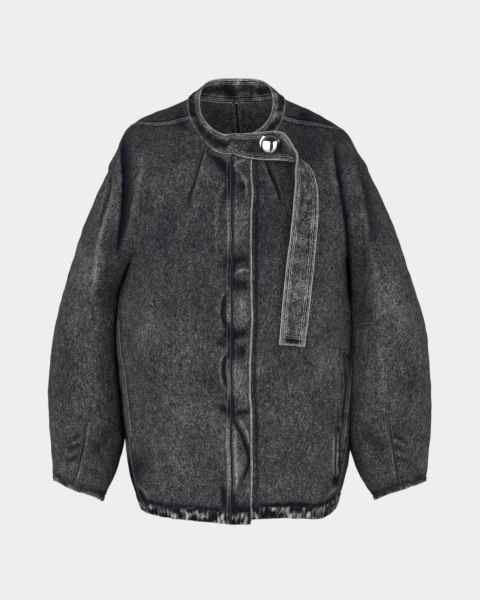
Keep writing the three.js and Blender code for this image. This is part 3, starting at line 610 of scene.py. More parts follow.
def swellShift(places):
    shift = np.zeros(places.shape)
    for near, (shiftX, shiftZ) in nearPlaces(swells, places, "shiftX", "shiftZ"):
        shift += near[..., None] * np.array([shiftX, 0, shiftZ])
    return shift


# The cloth's unevenness: wavelength, amount, seed, and its shares across, forwards and up
unevenness = [
    (130, 1.7, 11, (0.5, 1, 0.8)),
    (48, 0.8, 12, (0.3, 1, 0.6)),
    (22, 0.22, 13, (1, 1, 1)),
]


# The folds move the cloth straight forwards or back, and the unevenness depends on place alone, so that
# neighbouring pieces stay together at their seams.
def settle(sheet, share=1.0, body=True):
    x, y, z = np.moveaxis(sheet["places"], -1, 0)
    toFront = y < 5
    facing = smoothStep(np.abs(y - 5), 12, 55) * share
    shown = smoothStep(np.abs(y - 5), 3, 20) * share
    frontHeight, frontFadeAndShade = foldField(placketFolds + chestFolds + sleeveFolds, x, z)
    backHeight, backFadeAndShade = foldField(backFolds, x, z)
    calm = smoothStep(np.hypot(x - collarShiftX, y), 100, 150)
    shift = np.zeros(sheet["places"].shape)
    for size, amount, seed, shares in unevenness:
        shift += softShift(sheet["places"], size, amount, seed) * np.array(shares)
    shift = shift * calm[..., None] + swellShift(sheet["places"])
    shift += sideSwell(sheet["places"]) if body else sleeveLean(sheet["places"])
    shift[..., 1] -= np.where(toFront, frontHeight, -backHeight) * facing
    sheet["places"] = sheet["places"] + shift
    # The fade of the folds and by place: wash and wear, and painted shade in troughs, creases and shaded
    # spots
    sheet["fade"] = sheet["fade"] + np.where(toFront, frontFadeAndShade, backFadeAndShade) * shown
    sheet["fade"] = sheet["fade"] + washAndShadeFade(sheet["places"])
    renewNormals(sheet)


# Thread drawn tight puckers the cloth into beads along a seam.
def beadsAlong(sheet, edge, period, seed):
    along = sheet["fromBottom"] if edge in ("fromStart", "fromEnd") else sheet["fromStart"]
    return np.cos(along * (2 * math.pi / period) + 1.6 * softNoise(sheet["places"], 34, seed))


# A seam edge dips where the panels meet. The band beside it is thicker, sewn down and puckered. The dark
# line in the seam's dip and the dark strip just past the band are painted shade.
def seamEdge(sheet, edge, band=9, rope=0.3, groove=1.1, shade=0.9, period=6.5, seed=1, share=1.0):
    distance = sheet[edge]
    beads = beadsAlong(sheet, edge, period, seed)
    inBand = smoothStep(distance, 0.5, 2.5) * (1 - smoothStep(distance, band - 1.5, band + 1.5))
    height = -groove * bump(distance, 0, 1.8) + inBand * (0.45 + 0.8 * rope * beads)
    height -= 0.4 * bump(distance, band + 1.5, 1.8)
    fade = -1.3 * shade * bump(distance, 0, 1.6) + rope * inBand * (0.45 + 1.1 * beads)
    fade = fade - rope * bump(distance, band + 2, 2.4)
    raiseSheet(sheet, height * share, fade * share)


# A turned and stitched edge: thicker, roped and worn along its fold. The dark band just above it is painted
# shade, where the cloth rolls under.
def turnedEdge(sheet, edge, depth=23, rope=0.55, period=8.8, seed=2, wear=0.5, shade=0.8):
    distance = sheet[edge]
    beads = beadsAlong(sheet, edge, period, seed)
    inHem = 1 - smoothStep(distance, depth - 2, depth + 1)
    patches = softNoise(sheet["places"], 17, seed + 5)
    height = inHem * (0.5 + 1.3 * rope * beads * smoothStep(distance, 0, 5))
    height = height - 0.9 * bump(distance, depth + 0.5, 2)
    fade = inHem * rope * (beads + patches) + wear * bump(distance, 0, 2.2) * (0.7 + 0.5 * beads)
    fade -= shade * bump(distance, depth + 3, 4.5) * (0.8 + 0.35 * patches)
    raiseSheet(sheet, height, fade)


# Materials. Socket arithmetic keeps the shader maths readable.
class Value:
    def __init__(self, tree, socket):
        self.tree = tree
        self.socket = socket

    def maths(self, operation, *others):
        node = self.tree.nodes.new("ShaderNodeMath")
        node.operation = operation
        for slot, item in zip(node.inputs, (self, *others)):
            joinSocket(self.tree, item, slot)
        return Value(self.tree, node.outputs[0])

    def __add__(self, other):
        return self.maths("ADD", other)

    def __sub__(self, other):
        return self.maths("SUBTRACT", other)

    def __mul__(self, other):
        return self.maths("MULTIPLY", other)

    def __rsub__(self, other):
        return (self * -1) + other

    __radd__ = __add__
    __rmul__ = __mul__

    def ramp(self, low, high, toLow=0.0, toHigh=1.0):
        node = self.tree.nodes.new("ShaderNodeMapRange")
        for slot, item in zip(node.inputs, (self, low, high, toLow, toHigh)):
            joinSocket(self.tree, item, slot)
        return Value(self.tree, node.outputs[0])


def joinSocket(tree, item, slot):
    if isinstance(item, Value):
        tree.links.new(item.socket, slot)
    else:
        slot.default_value = item


class NodeTree:
    def __init__(self, tree):
        self.tree = tree

    def node(self, kind, settings=None, output=0, **inputs):
        made = self.tree.nodes.new(kind)
        for key, value in (settings or {}).items():
            setattr(made, key, value)
        for key, value in inputs.items():
            joinSocket(self.tree, value, made.inputs[key.replace("_", " ")])
        return Value(self.tree, made.outputs[output])

    def scaled(self, vector, amount):
        made = self.tree.nodes.new("ShaderNodeVectorMath")
        made.operation = "MULTIPLY"
        joinSocket(self.tree, vector, made.inputs[0])
        made.inputs[1].default_value = amount
        return Value(self.tree, made.outputs[0])

    def mixColour(self, share, low, high):
        made = self.tree.nodes.new("ShaderNodeMix")
        made.data_type = "RGBA"
        for slot, item in zip((made.inputs[0], made.inputs[6], made.inputs[7]), (share, low, high)):
            joinSocket(self.tree, item, slot)
        return Value(self.tree, made.outputs[2])


class Shader(NodeTree):
    def __init__(self, name):
        self.material = bpy.data.materials.new(name)
        self.material.use_nodes = True
        super().__init__(self.material.node_tree)
        self.surface = self.tree.nodes["Principled BSDF"]

    def attribute(self, name):
        return self.node("ShaderNodeAttribute", {"attribute_name": name}, output=2)

    def place(self, *amount):
        return self.scaled(self.node("ShaderNodeTexCoord", output=3), amount or (1.0, 1.0, 1.0))

    def clothPlace(self, *amount):
        return self.scaled(self.node("ShaderNodeUVMap", {"uv_map": "cloth"}), amount or (1.0, 1.0, 1.0))

    def noise(self, place, scale, detail=2.0, rough=0.6):
        return self.node("ShaderNodeTexNoise", Vector=place, Scale=scale, Detail=detail, Roughness=rough)

    def set(self, **inputs):
        for key, value in inputs.items():
            joinSocket(self.tree, value, self.surface.inputs[key.replace("_", " ")])


def denimMaterial(name, look):
    shader = Shader(name)
    fade = shader.attribute("fade")
    cloudy = shader.noise(shader.place(), 15.0, 3.0, 0.55)
    blotch = shader.noise(shader.place(1.0, 1.0, 0.7), 95.0, 2.0, 0.6)
    heather = shader.noise(shader.place(1.0, 1.0, 0.85), 470.0, 3.0, 0.8)
    slub = shader.noise(shader.place(1.0, 1.0, 0.22), 560.0, 2.0, 0.6)
    twill = shader.node("ShaderNodeTexWave", {"bands_direction": "DIAGONAL"}, output=1,
                        Vector=shader.clothPlace(1.0, 0.55, 1.0), Scale=430.0, Distortion=0.6)
    washed = (heather - 0.5) * look["speckle"] + (slub - 0.5) * look["slub"]
    washed = washed + (blotch - 0.5) * look["blotch"]
    washed = washed * fade.ramp(-1.0, 0.0, 0.35, 1.0)
    # The fade attribute, scaled by the wear gain, carries wash and wear, painted shade, and the painted
    # light of the backs' inside
    tone = washed + (cloudy - 0.5) * look["cloud"] + fade * look["wear"] + look["tone"]
    edge = shader.attribute("edge")
    sewn = shader.noise(shader.place(), 260.0, 1.0, 0.5).ramp(0.35, 0.6, 0.35, 1.2)
    for middle, width, amount in look["rows"]:
        row = edge.ramp(middle - width, middle, 0.0, 1.0) * edge.ramp(middle, middle + width, 1.0, 0.0)
        tone = tone + row * sewn * amount
    colour = shader.mixColour(tone.ramp(0.0, 0.5), look["deep"], look["middle"])
    colour = shader.mixColour(tone.ramp(0.5, 1.0), colour, look["worn"])
    colour = shader.mixColour(tone.ramp(1.0, 1.5), colour, look["rubbed"])
    weave = twill * 0.5 + heather * 0.6
    grain = shader.node("ShaderNodeBump", Strength=0.35, Distance=0.0004, Height=weave)
    shader.set(Base_Color=colour, Normal=grain, Roughness=(heather * 0.16) + 0.78)
    shader.set(Specular_IOR_Level=0.03)
    return shader.material


denimLook = {
    "speckle": 2.45,
    "slub": 1.0,
    "blotch": 0.5,
    "cloud": 0.45,
    "wear": 0.66,
    "tone": 0.42,
    "deep": (0.0050, 0.0062, 0.0100, 1),
    "middle": (0.036, 0.0362, 0.0385, 1),
    "worn": (0.165, 0.158, 0.150, 1),
    "rubbed": (0.36, 0.35, 0.335, 1),
    "rows": [(2.4, 1.0, 0.35), (7.2, 1.0, 0.2)],
}
denim = denimMaterial("denim", denimLook)
denimFaded = denimMaterial("denim_faded", {
    **denimLook,
    "tone": 0.45,
    "blotch": 1.2,
    "speckle": 3.2,
    "rows": [(0.3, 1.3, 0.9), (2.0, 0.9, -0.7), (3.6, 1.1, 1.1),
             (5.4, 0.9, -0.6), (7.2, 1.1, 1.0), (10.8, 1.0, 0.7)],
})


def threadMaterial(name, dark, pale):
    shader = Shader(name)
    twist = shader.noise(shader.place(), 900.0)
    shader.set(Base_Color=shader.mixColour(twist, dark, pale))
    shader.set(Roughness=twist * 0.2 + 0.6)
    return shader.material


def steelMaterial():
    shader = Shader("polished_steel")
    haze = shader.noise(shader.place(), 60.0)
    shader.set(Base_Color=(0.5, 0.505, 0.515, 1), Metallic=1.0, Roughness=haze * 0.03 + 0.025)
    return shader.material


thread = threadMaterial("thread", (0.04, 0.04, 0.042, 1), (0.27, 0.26, 0.25, 1))
# Near-black thread, used both for dark stitching and for painted shadow lines along seams and creases
darkThreadAndShadow = threadMaterial("dark_thread_and_shadow", (0.003, 0.0035, 0.006, 1), (0.012, 0.013, 0.017, 1))
steel = steelMaterial()
print("materials made")


# Making pieces
def addPiece(name, mesh):
    piece = bpy.data.objects.new(name, mesh)
    bpy.context.scene.collection.objects.link(piece)
    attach(piece, "root")
    return piece


def clothMesh(name, sheet, thickness, material, edges=(), inside=0.0):
    rows, columns = sheet["places"].shape[:2]
    numbers = np.arange(rows * columns).reshape(rows, columns)
    corners = [numbers[:-1, :-1], numbers[:-1, 1:], numbers[1:, 1:], numbers[1:, :-1]]
    quads = np.stack(corners, axis=-1).reshape(-1, 4)[:, ::int(sheet["outward"])]
    mesh = bpy.data.meshes.new(name)
    mesh.from_pydata((sheet["places"].reshape(-1, 3) * mm).tolist(), [], quads.tolist())
    fade = mesh.attributes.new("fade", "FLOAT", "POINT")
    fade.data.foreach_set("value", sheet["fade"].reshape(-1).astype(np.float32))
    edge = mesh.attributes.new("edge", "FLOAT", "POINT")
    decorated = [sheet[key] for key in edges] or [np.full((rows, columns), 99.0)]
    edge.data.foreach_set("value", np.min(decorated, axis=0).reshape(-1).astype(np.float32))
    layer = mesh.uv_layers.new(name="cloth")
    flat = np.stack([sheet["fromStart"], sheet["fromBottom"]], axis=-1).reshape(-1, 2) * mm
    layer.data.foreach_set("uv", flat[quads.reshape(-1)].reshape(-1).astype(np.float32))
    mesh.materials.append(material)
    mesh.shade_smooth()
    piece = addPiece(name, mesh)
    shell = piece.modifiers.new("thickness", "SOLIDIFY")
    shell.thickness = thickness * mm
    shell.offset = -1
    graph = bpy.context.evaluated_depsgraph_get()
    shaped = piece.evaluated_get(graph)
    made = bpy.data.meshes.new_from_object(shaped, preserve_all_data_layers=True, depsgraph=graph)
    piece.modifiers.clear()
    piece.data = made
    normals = sheet["normals"].reshape(-1, 3)
    made.normals_split_custom_set_from_vertices(np.concatenate([normals, -normals]).tolist())
    # The inner faces are made paler: painted light on the inside of the back, where it shows through the
    # neck
    if inside:
        count = rows * columns
        values = np.zeros(len(made.vertices), np.float32)
        made.attributes["fade"].data.foreach_get("value", values)
        values[count:] += inside
        made.attributes["fade"].data.foreach_set("value", values)
    return piece


# A line along a sheet, parallel to one edge at an inset, lifted just off the cloth.
def lineOnSheet(sheet, edge, inset, lift=0.3, start=0.0, end=1.0):
    distance = sheet[edge]
    places = sheet["places"] + sheet["normals"] * lift
    if edge in ("fromBottom", "fromTop"):
        distance = distance.T
        places = np.swapaxes(places, 0, 1)
    line = []
    for gaps, row in zip(distance, places):
        order = np.argsort(gaps)
        line.append([np.interp(inset, gaps[order], row[order, axis]) for axis in range(3)])
    first, last = round(start * (len(line) - 1)), round(end * (len(line) - 1))
    return np.array(line[first:last + 1])


def otherSide(sheet):
    return {**sheet, "normals": -sheet["normals"]}


def stitchTree(name):
    tree = bpy.data.node_groups.new(name, "GeometryNodeTree")
    tree.interface.new_socket("Geometry", in_out="INPUT", socket_type="NodeSocketGeometry")
    tree.interface.new_socket("Geometry", in_out="OUTPUT", socket_type="NodeSocketGeometry")
    sockets = {}
    for label, kind in (("Pitch", "Float"), ("Length", "Float"), ("Width", "Float"), ("Thread", "Material")):
        made = tree.interface.new_socket(label, in_out="INPUT", socket_type=f"NodeSocket{kind}")
        sockets[label] = made.identifier
    new = tree.nodes.new
    link = tree.links.new
    given = new("NodeGroupInput").outputs
    spaced = new("GeometryNodeResampleCurve")
    spaced.mode = "LENGTH"
    link(given["Geometry"], spaced.inputs["Curve"])
    link(given["Pitch"], spaced.inputs["Length"])
    turned = new("FunctionNodeAlignRotationToVector")
    turned.axis = "X"
    link(new("GeometryNodeInputTangent").outputs[0], turned.inputs["Vector"])
    stitch = new("GeometryNodeMeshIcoSphere")
    stitch.inputs["Radius"].default_value = 0.5
    size = new("ShaderNodeCombineXYZ")
    for axis, label in (("X", "Length"), ("Y", "Width"), ("Z", "Width")):
        link(given[label], size.inputs[axis])
    copies = new("GeometryNodeInstanceOnPoints")
    link(spaced.outputs["Curve"], copies.inputs["Points"])
    link(stitch.outputs["Mesh"], copies.inputs["Instance"])
    link(turned.outputs["Rotation"], copies.inputs["Rotation"])
    link(size.outputs[0], copies.inputs["Scale"])
    real = new("GeometryNodeRealizeInstances")
    link(copies.outputs["Instances"], real.inputs["Geometry"])
    painted = new("GeometryNodeSetMaterial")
    link(real.outputs["Geometry"], painted.inputs["Geometry"])
    link(given["Thread"], painted.inputs["Material"])
    link(painted.outputs["Geometry"], new("NodeGroupOutput").inputs["Geometry"])
    return tree, sockets


stitching, stitchInputs = stitchTree("stitching")


def sewLines(name, lines, slot, pitch=3.6, length=2.9, width=0.8, colour=None):
    curve = bpy.data.curves.new(name, "CURVE")
    curve.dimensions = "3D"
    for line in lines:
        spline = curve.splines.new("POLY")
        spline.points.add(len(line) - 1)
        spline.points.foreach_set("co", np.c_[line * mm, np.ones(len(line))].reshape(-1).astype(np.float32))
    holder = bpy.data.objects.new(name + "_line", curve)
    bpy.context.scene.collection.objects.link(holder)
    sewing = holder.modifiers.new("stitching", "NODES")
    sewing.node_group = stitching
    for label, value in (("Pitch", pitch * mm), ("Length", length * mm), ("Width", width * mm)):
        sewing[stitchInputs[label]] = value
    sewing[stitchInputs["Thread"]] = colour or thread
    graph = bpy.context.evaluated_depsgraph_get()
    mesh = bpy.data.meshes.new_from_object(holder.evaluated_get(graph), depsgraph=graph)
    bpy.data.objects.remove(holder)
    mesh.shade_smooth()
    return addPiece(name, mesh)


# A line drawn on a sheet through points seen from in front, as x and z
def drawnLine(sheet, points, lift=0.3):
    spots = np.array(points, float)
    lengths = np.concatenate([[0], np.cumsum(np.linalg.norm(np.diff(spots, axis=0), axis=1))])
    at = np.linspace(0, lengths[-1], max(2, int(lengths[-1] / 2)))
    spots = np.stack([np.interp(at, lengths, spots[:, axis]) for axis in (0, 1)], axis=1)
    places = sheet["places"].reshape(-1, 3)
    normals = sheet["normals"].reshape(-1, 3)
    line = []
    for x, z in spots:
        gaps = (places[:, 0] - x) ** 2 + (places[:, 2] - z) ** 2
        near = np.argpartition(gaps, 6)[:6]
        share = 1 / (gaps[near] + 0.5)
        share /= share.sum()
        line.append((x, share @ places[near, 1] + (share @ normals[near, 1]) * lift, z))
    return np.array(line)


# Body panels
panelLook = {
    "belowRows": 170,
    "armRows": 72,
    "aboveRows": 80,
    "frontColumns": 96,
    "backColumns": 60,
    "placketColumns": 24,
}


def bodyRows():
    below = np.linspace(0, jacket["underarm"], panelLook["belowRows"])[:-1]
    around = 180 * (1 - np.arange(panelLook["armRows"] + 1) / panelLook["armRows"])
    arm = armholePlace(around)[0]
    above = np.linspace(jacket["armholeTop"], jacket["neck"], panelLook["aboveRows"])[1:]
    levels = np.concatenate([below, arm, above])
    arounds = np.concatenate([np.full(len(below), np.nan), around, np.full(len(above), np.nan)])
    return levels, arounds


levels, arounds = bodyRows()
onArmhole = ~np.isnan(arounds)
underarmShare = float(np.argmax(onArmhole)) / (len(levels) - 1)
shoulderShare = float(len(levels) - 1 - np.argmax(onArmhole[::-1])) / (len(levels) - 1)


def outerTurns(facing):
    shoulder = readTable(shoulderSeam, "turn", levels)
    seam = np.where(levels < jacket["underarm"], readTable(sideSeam, "turn", levels), shoulder)
    return np.where(onArmhole, armholePlace(np.nan_to_num(arounds) * facing)[1], seam)


def overlapLift(x, level):
    hemPart = 1 - smoothStep(level, jacket["hem"] - 2, jacket["hem"] + 2)
    lift = jacket["cloth"] + jacket["layerGap"] + hemPart
    return lift * smoothStep(x, jacket["liftStart"], jacket["liftEnd"])


def bodySheet(turns, outward, lifted=False):
    grid = np.broadcast_to(levels[:, None], turns.shape)
    sheet = makeSheet(bodyPoint(turns, grid), outward)
    if lifted:
        raiseSheet(sheet, overlapLift(sheet["places"][..., 0], grid))
    low = (1 - smoothStep(grid, 0, 120)) * smoothStep(-sheet["places"][..., 1], 0, 30)
    sheet["places"][..., 2] -= readTable(hemDrops, "drop", sheet["places"][..., 0]) * low
    settle(sheet, 1 - smoothStep(grid, jacket["neck"] - 20, jacket["neck"] - 3))
    return sheet


def panelSheet(side, facing, startX=None, lifted=False):
    inner = np.full(len(levels), 180.0 * side) if startX is None else turnAtX(startX, levels)
    columns = panelLook["frontColumns"] if facing > 0 else panelLook["backColumns"]
    share = np.linspace(0, 1, columns + 1)[None]
    share = share - 0.5 * np.sin(2 * math.pi * share) / (2 * math.pi)
    turns = inner[:, None] * (1 - share) + side * outerTurns(facing)[:, None] * share
    sheet = bodySheet(turns, side * facing, lifted)
    shoulder = smoothStep(levels, jacket["armholeTop"] - 4, jacket["armholeTop"] + 8)[:, None]
    sideways = 1 - smoothStep(levels, jacket["underarm"] - 12, jacket["underarm"])[:, None]
    turnedEdge(sheet, "fromBottom", depth=jacket["hem"], seed=20, rope=0.65, period=7.6, wear=0.3)
    seamEdge(sheet, "fromEnd", band=8, rope=0.12, seed=21, share=sideways, shade=0.6)
    if facing > 0:
        seamEdge(sheet, "fromEnd", band=3, rope=0.1, seed=22, share=shoulder)
    else:
        seamEdge(sheet, "fromEnd", band=11, rope=0.8, seed=23, share=shoulder)
        seamEdge(sheet, "fromStart", band=8, rope=0.15, seed=24, shade=0.7)
    return sheet


sheets = {
    "front_right": panelSheet(-1, 1, jacket["placketSeam"], lifted=True),
    "front_left": panelSheet(1, 1, -1),
    "back_left": panelSheet(1, -1),
    "back_right": panelSheet(-1, -1),
}
seamEdge(sheets["front_right"], "fromStart", band=8, rope=0.12, seed=25, shade=1.0)
for name in sheets:
    renewNormals(sheets[name])
print("body panels shaped")


def placketSheet():
    across = np.linspace(jacket["placketSeam"], jacket["placketEdge"], panelLook["placketColumns"] + 1)
    sheet = bodySheet(np.stack([turnAtX(x, levels) for x in across], axis=1), 1, lifted=True)
    edge = sheet["fromEnd"]
    wave = softNoise(sheet["places"] * np.array([0, 0, 1]), 75, 32)
    raiseSheet(sheet, 0.9 + 0.5 * bump(edge, 3, 3), 1.7 * bump(edge, 0, 1.7) - 0.12 * bump(edge, 6, 2))
    sheet["places"][..., 0] += wave * 0.35 * smoothStep(sheet["fromStart"], 10, 34)
    seamEdge(sheet, "fromStart", band=2, rope=0.1, seed=33, shade=1.0)
    turnedEdge(sheet, "fromBottom", depth=jacket["hem"], seed=20, rope=0.6)
    renewNormals(sheet)
    return sheet


sheets["front_placket"] = placketSheet()

# Sleeves
sleeveLook = {"rows": 205, "cuffHem": 9}


def sleeveSheet(sleeve, facing):
    around = facing * 180 * (1 - np.arange(panelLook["armRows"] + 1) / panelLook["armRows"])
    at = np.linspace(0, 1, sleeveLook["rows"]) * sleeveLength
    aroundGrid, atGrid = np.meshgrid(around, at)
    sheet = makeSheet(sleevePoint(sleeve, aroundGrid, atGrid), -facing * sleeve["side"])
    settle(sheet, body=False)
    seamEdge(sheet, "fromEnd", band=5, rope=0.12, seed=45, shade=0.35, share=smoothStep(atGrid, 10, 40))
    seamEdge(sheet, "fromStart", band=4, rope=0.1, seed=46, shade=0.35, share=smoothStep(atGrid, 10, 40))
    cuff = {"depth": sleeveLook["cuffHem"], "seed": 47, "rope": 0.25, "period": 6, "shade": 0.5, "wear": 1.1}
    turnedEdge(sheet, "fromTop", **cuff)
    renewNormals(sheet)
    return sheet


for name, sleeve in sleeves.items():
    sheets[f"sleeve_{name}_front"] = sleeveSheet(sleeve, 1)
    sheets[f"sleeve_{name}_back"] = sleeveSheet(sleeve, -1)
print("sleeves shaped")

# Collar band and strap
collarLook = {"columns": 400, "rows": 38, "startX": -1, "endX": -13, "insideLift": 1.9}


def collarSheet():
    start, end = (float(turnAtX(collarLook[key], np.array(jacket["neck"]))) for key in ("startX", "endX"))
    around = np.linspace(start, end + 360, collarLook["columns"])
    turns, heights = np.meshgrid(around, np.linspace(0.01, 1, collarLook["rows"]))
    sheet = makeSheet(collarPoint(turns, heights), 1)
    rim = sheet["fromTop"]
    beads = beadsAlong(sheet, "fromTop", 7, 51)
    fade = 1.5 * bump(rim, 0, 2.2) + 0.12 * beads * bump(rim, 5, 4) - 0.35 * bump(rim, 22, 7)
    fade += 0.2 * softNoise(sheet["places"], 26, 54) - 0.15
    height = 0.25 * beads * bump(rim, 5, 4) + 0.5 * softNoise(sheet["places"], 40, 52) * bump(rim, 20, 12)
    raiseSheet(sheet, height, fade)
    seamEdge(sheet, "fromBottom", band=8, rope=0.25, seed=53)
    renewNormals(sheet)
    return sheet


sheets["collar_band"] = collarSheet()


# A centripetal Catmull-Rom curve through the points, read at even steps of its parameter.
def smoothCurve(points, count):
    points = np.vstack([2 * points[0] - points[1], points, 2 * points[-1] - points[-2]])
    curve = []
    for place in np.linspace(0, len(points) - 3, count):
        i = min(int(place), len(points) - 4)
        level = list(points[i:i + 4])
        steps = np.sqrt(np.linalg.norm(np.diff(level, axis=0), axis=1))
        knots = np.concatenate([[0], np.cumsum(np.maximum(steps, 1e-6))])
        t = knots[1] + (place - i) * (knots[2] - knots[1])
        for order in (1, 2):
            pairs = zip(level[:-1], level[1:], knots, knots[order:])
            level = [(a * (late - t) + b * (t - soon)) / (late - soon) for a, b, soon, late in pairs]
        share = (t - knots[1]) / (knots[2] - knots[1])
        curve.append(level[0] * (1 - share) + level[1] * share)
    return np.array(curve)


strapLook = {"length": 420, "rows": 38, "startX": -21, "lowHeight": 0.16, "thickness": 2.4, "boxEnd": 17}


def strapSheet():
    startTurn = float(turnAtX(strapLook["startX"], np.array(jacket["neck"])))
    along = np.diff(collarPoint(np.array([startTurn - 2, startTurn + 2]), 0.5), axis=0)[0]
    up = collarPoint(startTurn, 0.55) - collarPoint(startTurn, 0.45)
    rise = unit(np.cross(along, up)) * (2 * jacket["layerGap"] + 1.5)

    def edge(prefix, height):
        rest = np.stack([strapEdges[prefix + axis][0] for axis in "XYZ"], axis=-1)
        return smoothCurve(np.vstack([collarPoint(startTurn, height) + rise, rest]), strapLook["length"])

    share = np.linspace(0, 1, strapLook["rows"])[:, None, None]
    return makeSheet(edge("low", strapLook["lowHeight"]) * (1 - share) + edge("top", 1) * share, 1)


def dressedStrap(sheet):
    side = np.minimum(sheet["fromTop"], sheet["fromBottom"])
    end = sheet["fromEnd"]
    beads = beadsAlong(sheet, "fromTop", 6.5, 61)
    nearSide = 1 - smoothStep(side, 8, 12)
    fade = 1.4 * bump(side, 0, 1.7) - 0.45 * bump(side, 4.5, 1.4) + 0.14 * beads * nearSide
    fade += 1.1 * bump(end, 0, 1.8) + 0.6 * bump(end, strapLook["boxEnd"] - 3, 1.3) - 0.9 * bump(end, 9, 3)
    inBox = smoothStep(6 - side, 0, 2) * (1 - smoothStep(end, 12, 14))
    fade += 0.9 * inBox - 0.7 * bump(end, strapLook["boxEnd"], 1.5)
    fade = fade * smoothStep(sheet["fromStart"], 4, 40) + 0.1 * softNoise(sheet["places"], 24, 63)
    fade -= 0.4 * (1 - smoothStep(sheet["fromStart"], 50, 120))
    height = strapLook["thickness"] / 2 + 0.3 * beads * nearSide + 0.4 * softNoise(sheet["places"], 34, 62)
    raiseSheet(sheet, height, fade)
    renewNormals(sheet)
    return sheet


strapMiddle = strapSheet()
sheets["collar_strap"] = dressedStrap(dict(strapMiddle))

# Pocket edges, on the front panels beside the side seams
pocketLook = {"bottom": 124, "top": 330, "width": 11, "turnSize": 3.1, "rise": 1.6}


def pocketSheet(side):
    rows = np.linspace(pocketLook["bottom"], pocketLook["top"], 84)
    share = np.linspace(0, 1, 8)[None]
    inset = (0.8 + pocketLook["width"] * share) / pocketLook["turnSize"]
    turns = readTable(sideSeam, "turn", rows)[:, None] - inset
    sheet = makeSheet(bodyPoint(side * turns, np.broadcast_to(rows[:, None], turns.shape)), -side)
    settle(sheet)
    fade = 0.6 * bump(sheet["fromEnd"], 0, 2) + 0.1 * beadsAlong(sheet, "fromEnd", 7, 71)
    fade = fade - 0.5 * bump(sheet["fromStart"], 0, 2)
    raiseSheet(sheet, pocketLook["rise"], fade)
    return sheet


for name, sleeve in sleeves.items():
    sheets[f"pocket_welt_{name}"] = pocketSheet(sleeve["side"])
print("small pieces shaped")


# Where two pieces meet they share their normals, so that the cloth looks whole across the seam
def shareNormals(first, firstPart, second, secondPart):
    mean = unit(first["normals"][firstPart] + second["normals"][secondPart])
    first["normals"][firstPart] = mean
    second["normals"][secondPart] = mean


seamRows = np.flatnonzero(~onArmhole)
armRows = np.flatnonzero(onArmhole)
for name in sleeves:
    front, back = sheets[f"front_{name}"], sheets[f"back_{name}"]
    sleeveFront, sleeveBack = sheets[f"sleeve_{name}_front"], sheets[f"sleeve_{name}_back"]
    shareNormals(front, (seamRows, -1), back, (seamRows, -1))
    shareNormals(front, (armRows, -1), sleeveFront, (0, slice(None)))
    shareNormals(back, (armRows, -1), sleeveBack, (0, slice(None)))
    for column in (0, -1):
        shareNormals(sleeveFront, (slice(1, None), column), sleeveBack, (slice(1, None), column))
shareNormals(sheets["back_left"], (slice(None), 0), sheets["back_right"], (slice(None), 0))

# The cloth of each piece: its thickness in millimetres, its flat size in metres, and the share of that
# rectangle which is cloth. The shares are set from the area of each finished sheet.
bodyCloth = {"thickness": 1.5, "flat": (0.32, 0.78)}
# The backs' inner faces are made paler by "inside": painted light where the inside of the back shows through
# the neck
backCloth = {"thickness": 1.5, "flat": (0.35, 0.83), "share": 0.79, "edges": ["fromStart"], "inside": 0.4}
sleeveCloth = {"thickness": 1.5, "flat": (0.27, 0.58)}
weltCloth = {"thickness": 1.0, "flat": (0.012, 0.214), "share": 0.84}
collarCloth = {"slot": "denim_collar", "edges": ["fromTop", "fromBottom"]}
cloths = {
    "front_right": {**bodyCloth, "share": 0.65, "edges": ["fromStart"]},
    "front_left": {**bodyCloth, "share": 0.68},
    "back_left": backCloth,
    "back_right": backCloth,
    "front_placket": {"thickness": 2.2, "flat": (0.038, 0.676), "share": 0.97, "slot": "denim_placket",
                      "edges": ["fromStart", "fromEnd"]},
    "sleeve_left_front": {**sleeveCloth, "share": 0.74},
    "sleeve_left_back": {**sleeveCloth, "share": 0.73},
    "sleeve_right_front": {**sleeveCloth, "share": 0.72},
    "sleeve_right_back": {**sleeveCloth, "share": 0.71},
    "collar_band": {**collarCloth, "thickness": 1.6, "flat": (0.62, 0.046), "share": 0.72},
    "collar_strap": {**collarCloth, "thickness": 2.4, "flat": (0.50, 0.053), "share": 0.89},
    "pocket_welt_left": weltCloth,
    "pocket_welt_right": weltCloth,
}
for name, cloth in cloths.items():
    slot = cloth.get("slot", "denim")
    material = denimFaded if slot == "denim_collar" else denim
    edges = cloth.get("edges", ())
    inside = cloth.get("inside", 0.0)
    piece = clothMesh(name + "_cloth", sheets[name], cloth["thickness"], material, edges, inside)
    width, length = cloth["flat"]
    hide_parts(name)
    width * length * cloth["share"]
print("cloth made")

# Details of the front sewn in dark and pale thread: the neck darts and the pocket's bars. Many dark lines
# lie along the deeper creases and folds of the chest, sleeves and pocket, and are painted shadow as well as
# thread.
darkThreadAndShadowDetails = {
    "front_right": [
        [(-61.2, -81), (-77.4, -140), (-93.6, -198)],
        [(-235.8, -129.6), (-225, -140.4)],
        [(-208.8, -477), (-203.4, -484)],
    ],
    "sleeve_right_front": [
        [(-274.9, -568.8), (-283.9, -612), (-301.9, -697.5)],
        [(-235.4, -150), (-244.5, -200), (-254, -240)],
    ],
    "sleeve_left_front": [
        [(269.6, -576), (276.3, -625.5), (288.9, -693)],
        [(227, -146), (231.2, -190), (235, -230)],
    ],
    "front_left": [
        [(57.6, -109.8), (68.4, -151), (79.2, -190.8)],
        [(46.8, -109.8), (52.2, -122.4)],
        [(198.5, -414), (198, -440), (196, -462)],
        [(188, -449), (197, -449)],
        [(186, -457), (196, -457)],
        [(184, -478), (192, -478)],
        [(171, -563), (184, -563)],
        [(171, -571), (184, -571)],
        [(171, -579), (184, -579)],
        [(171, -630), (185, -633)],
        [(174.6, -601), (174.6, -673)],
        [(181.8, -601), (181.8, -673)],
        [(215.5, -128), (230, -132)],
        [(220, -104), (224, -125)],
        [(188, -454), (192, -513), (189, -549), (186.5, -598)],
    ],
}
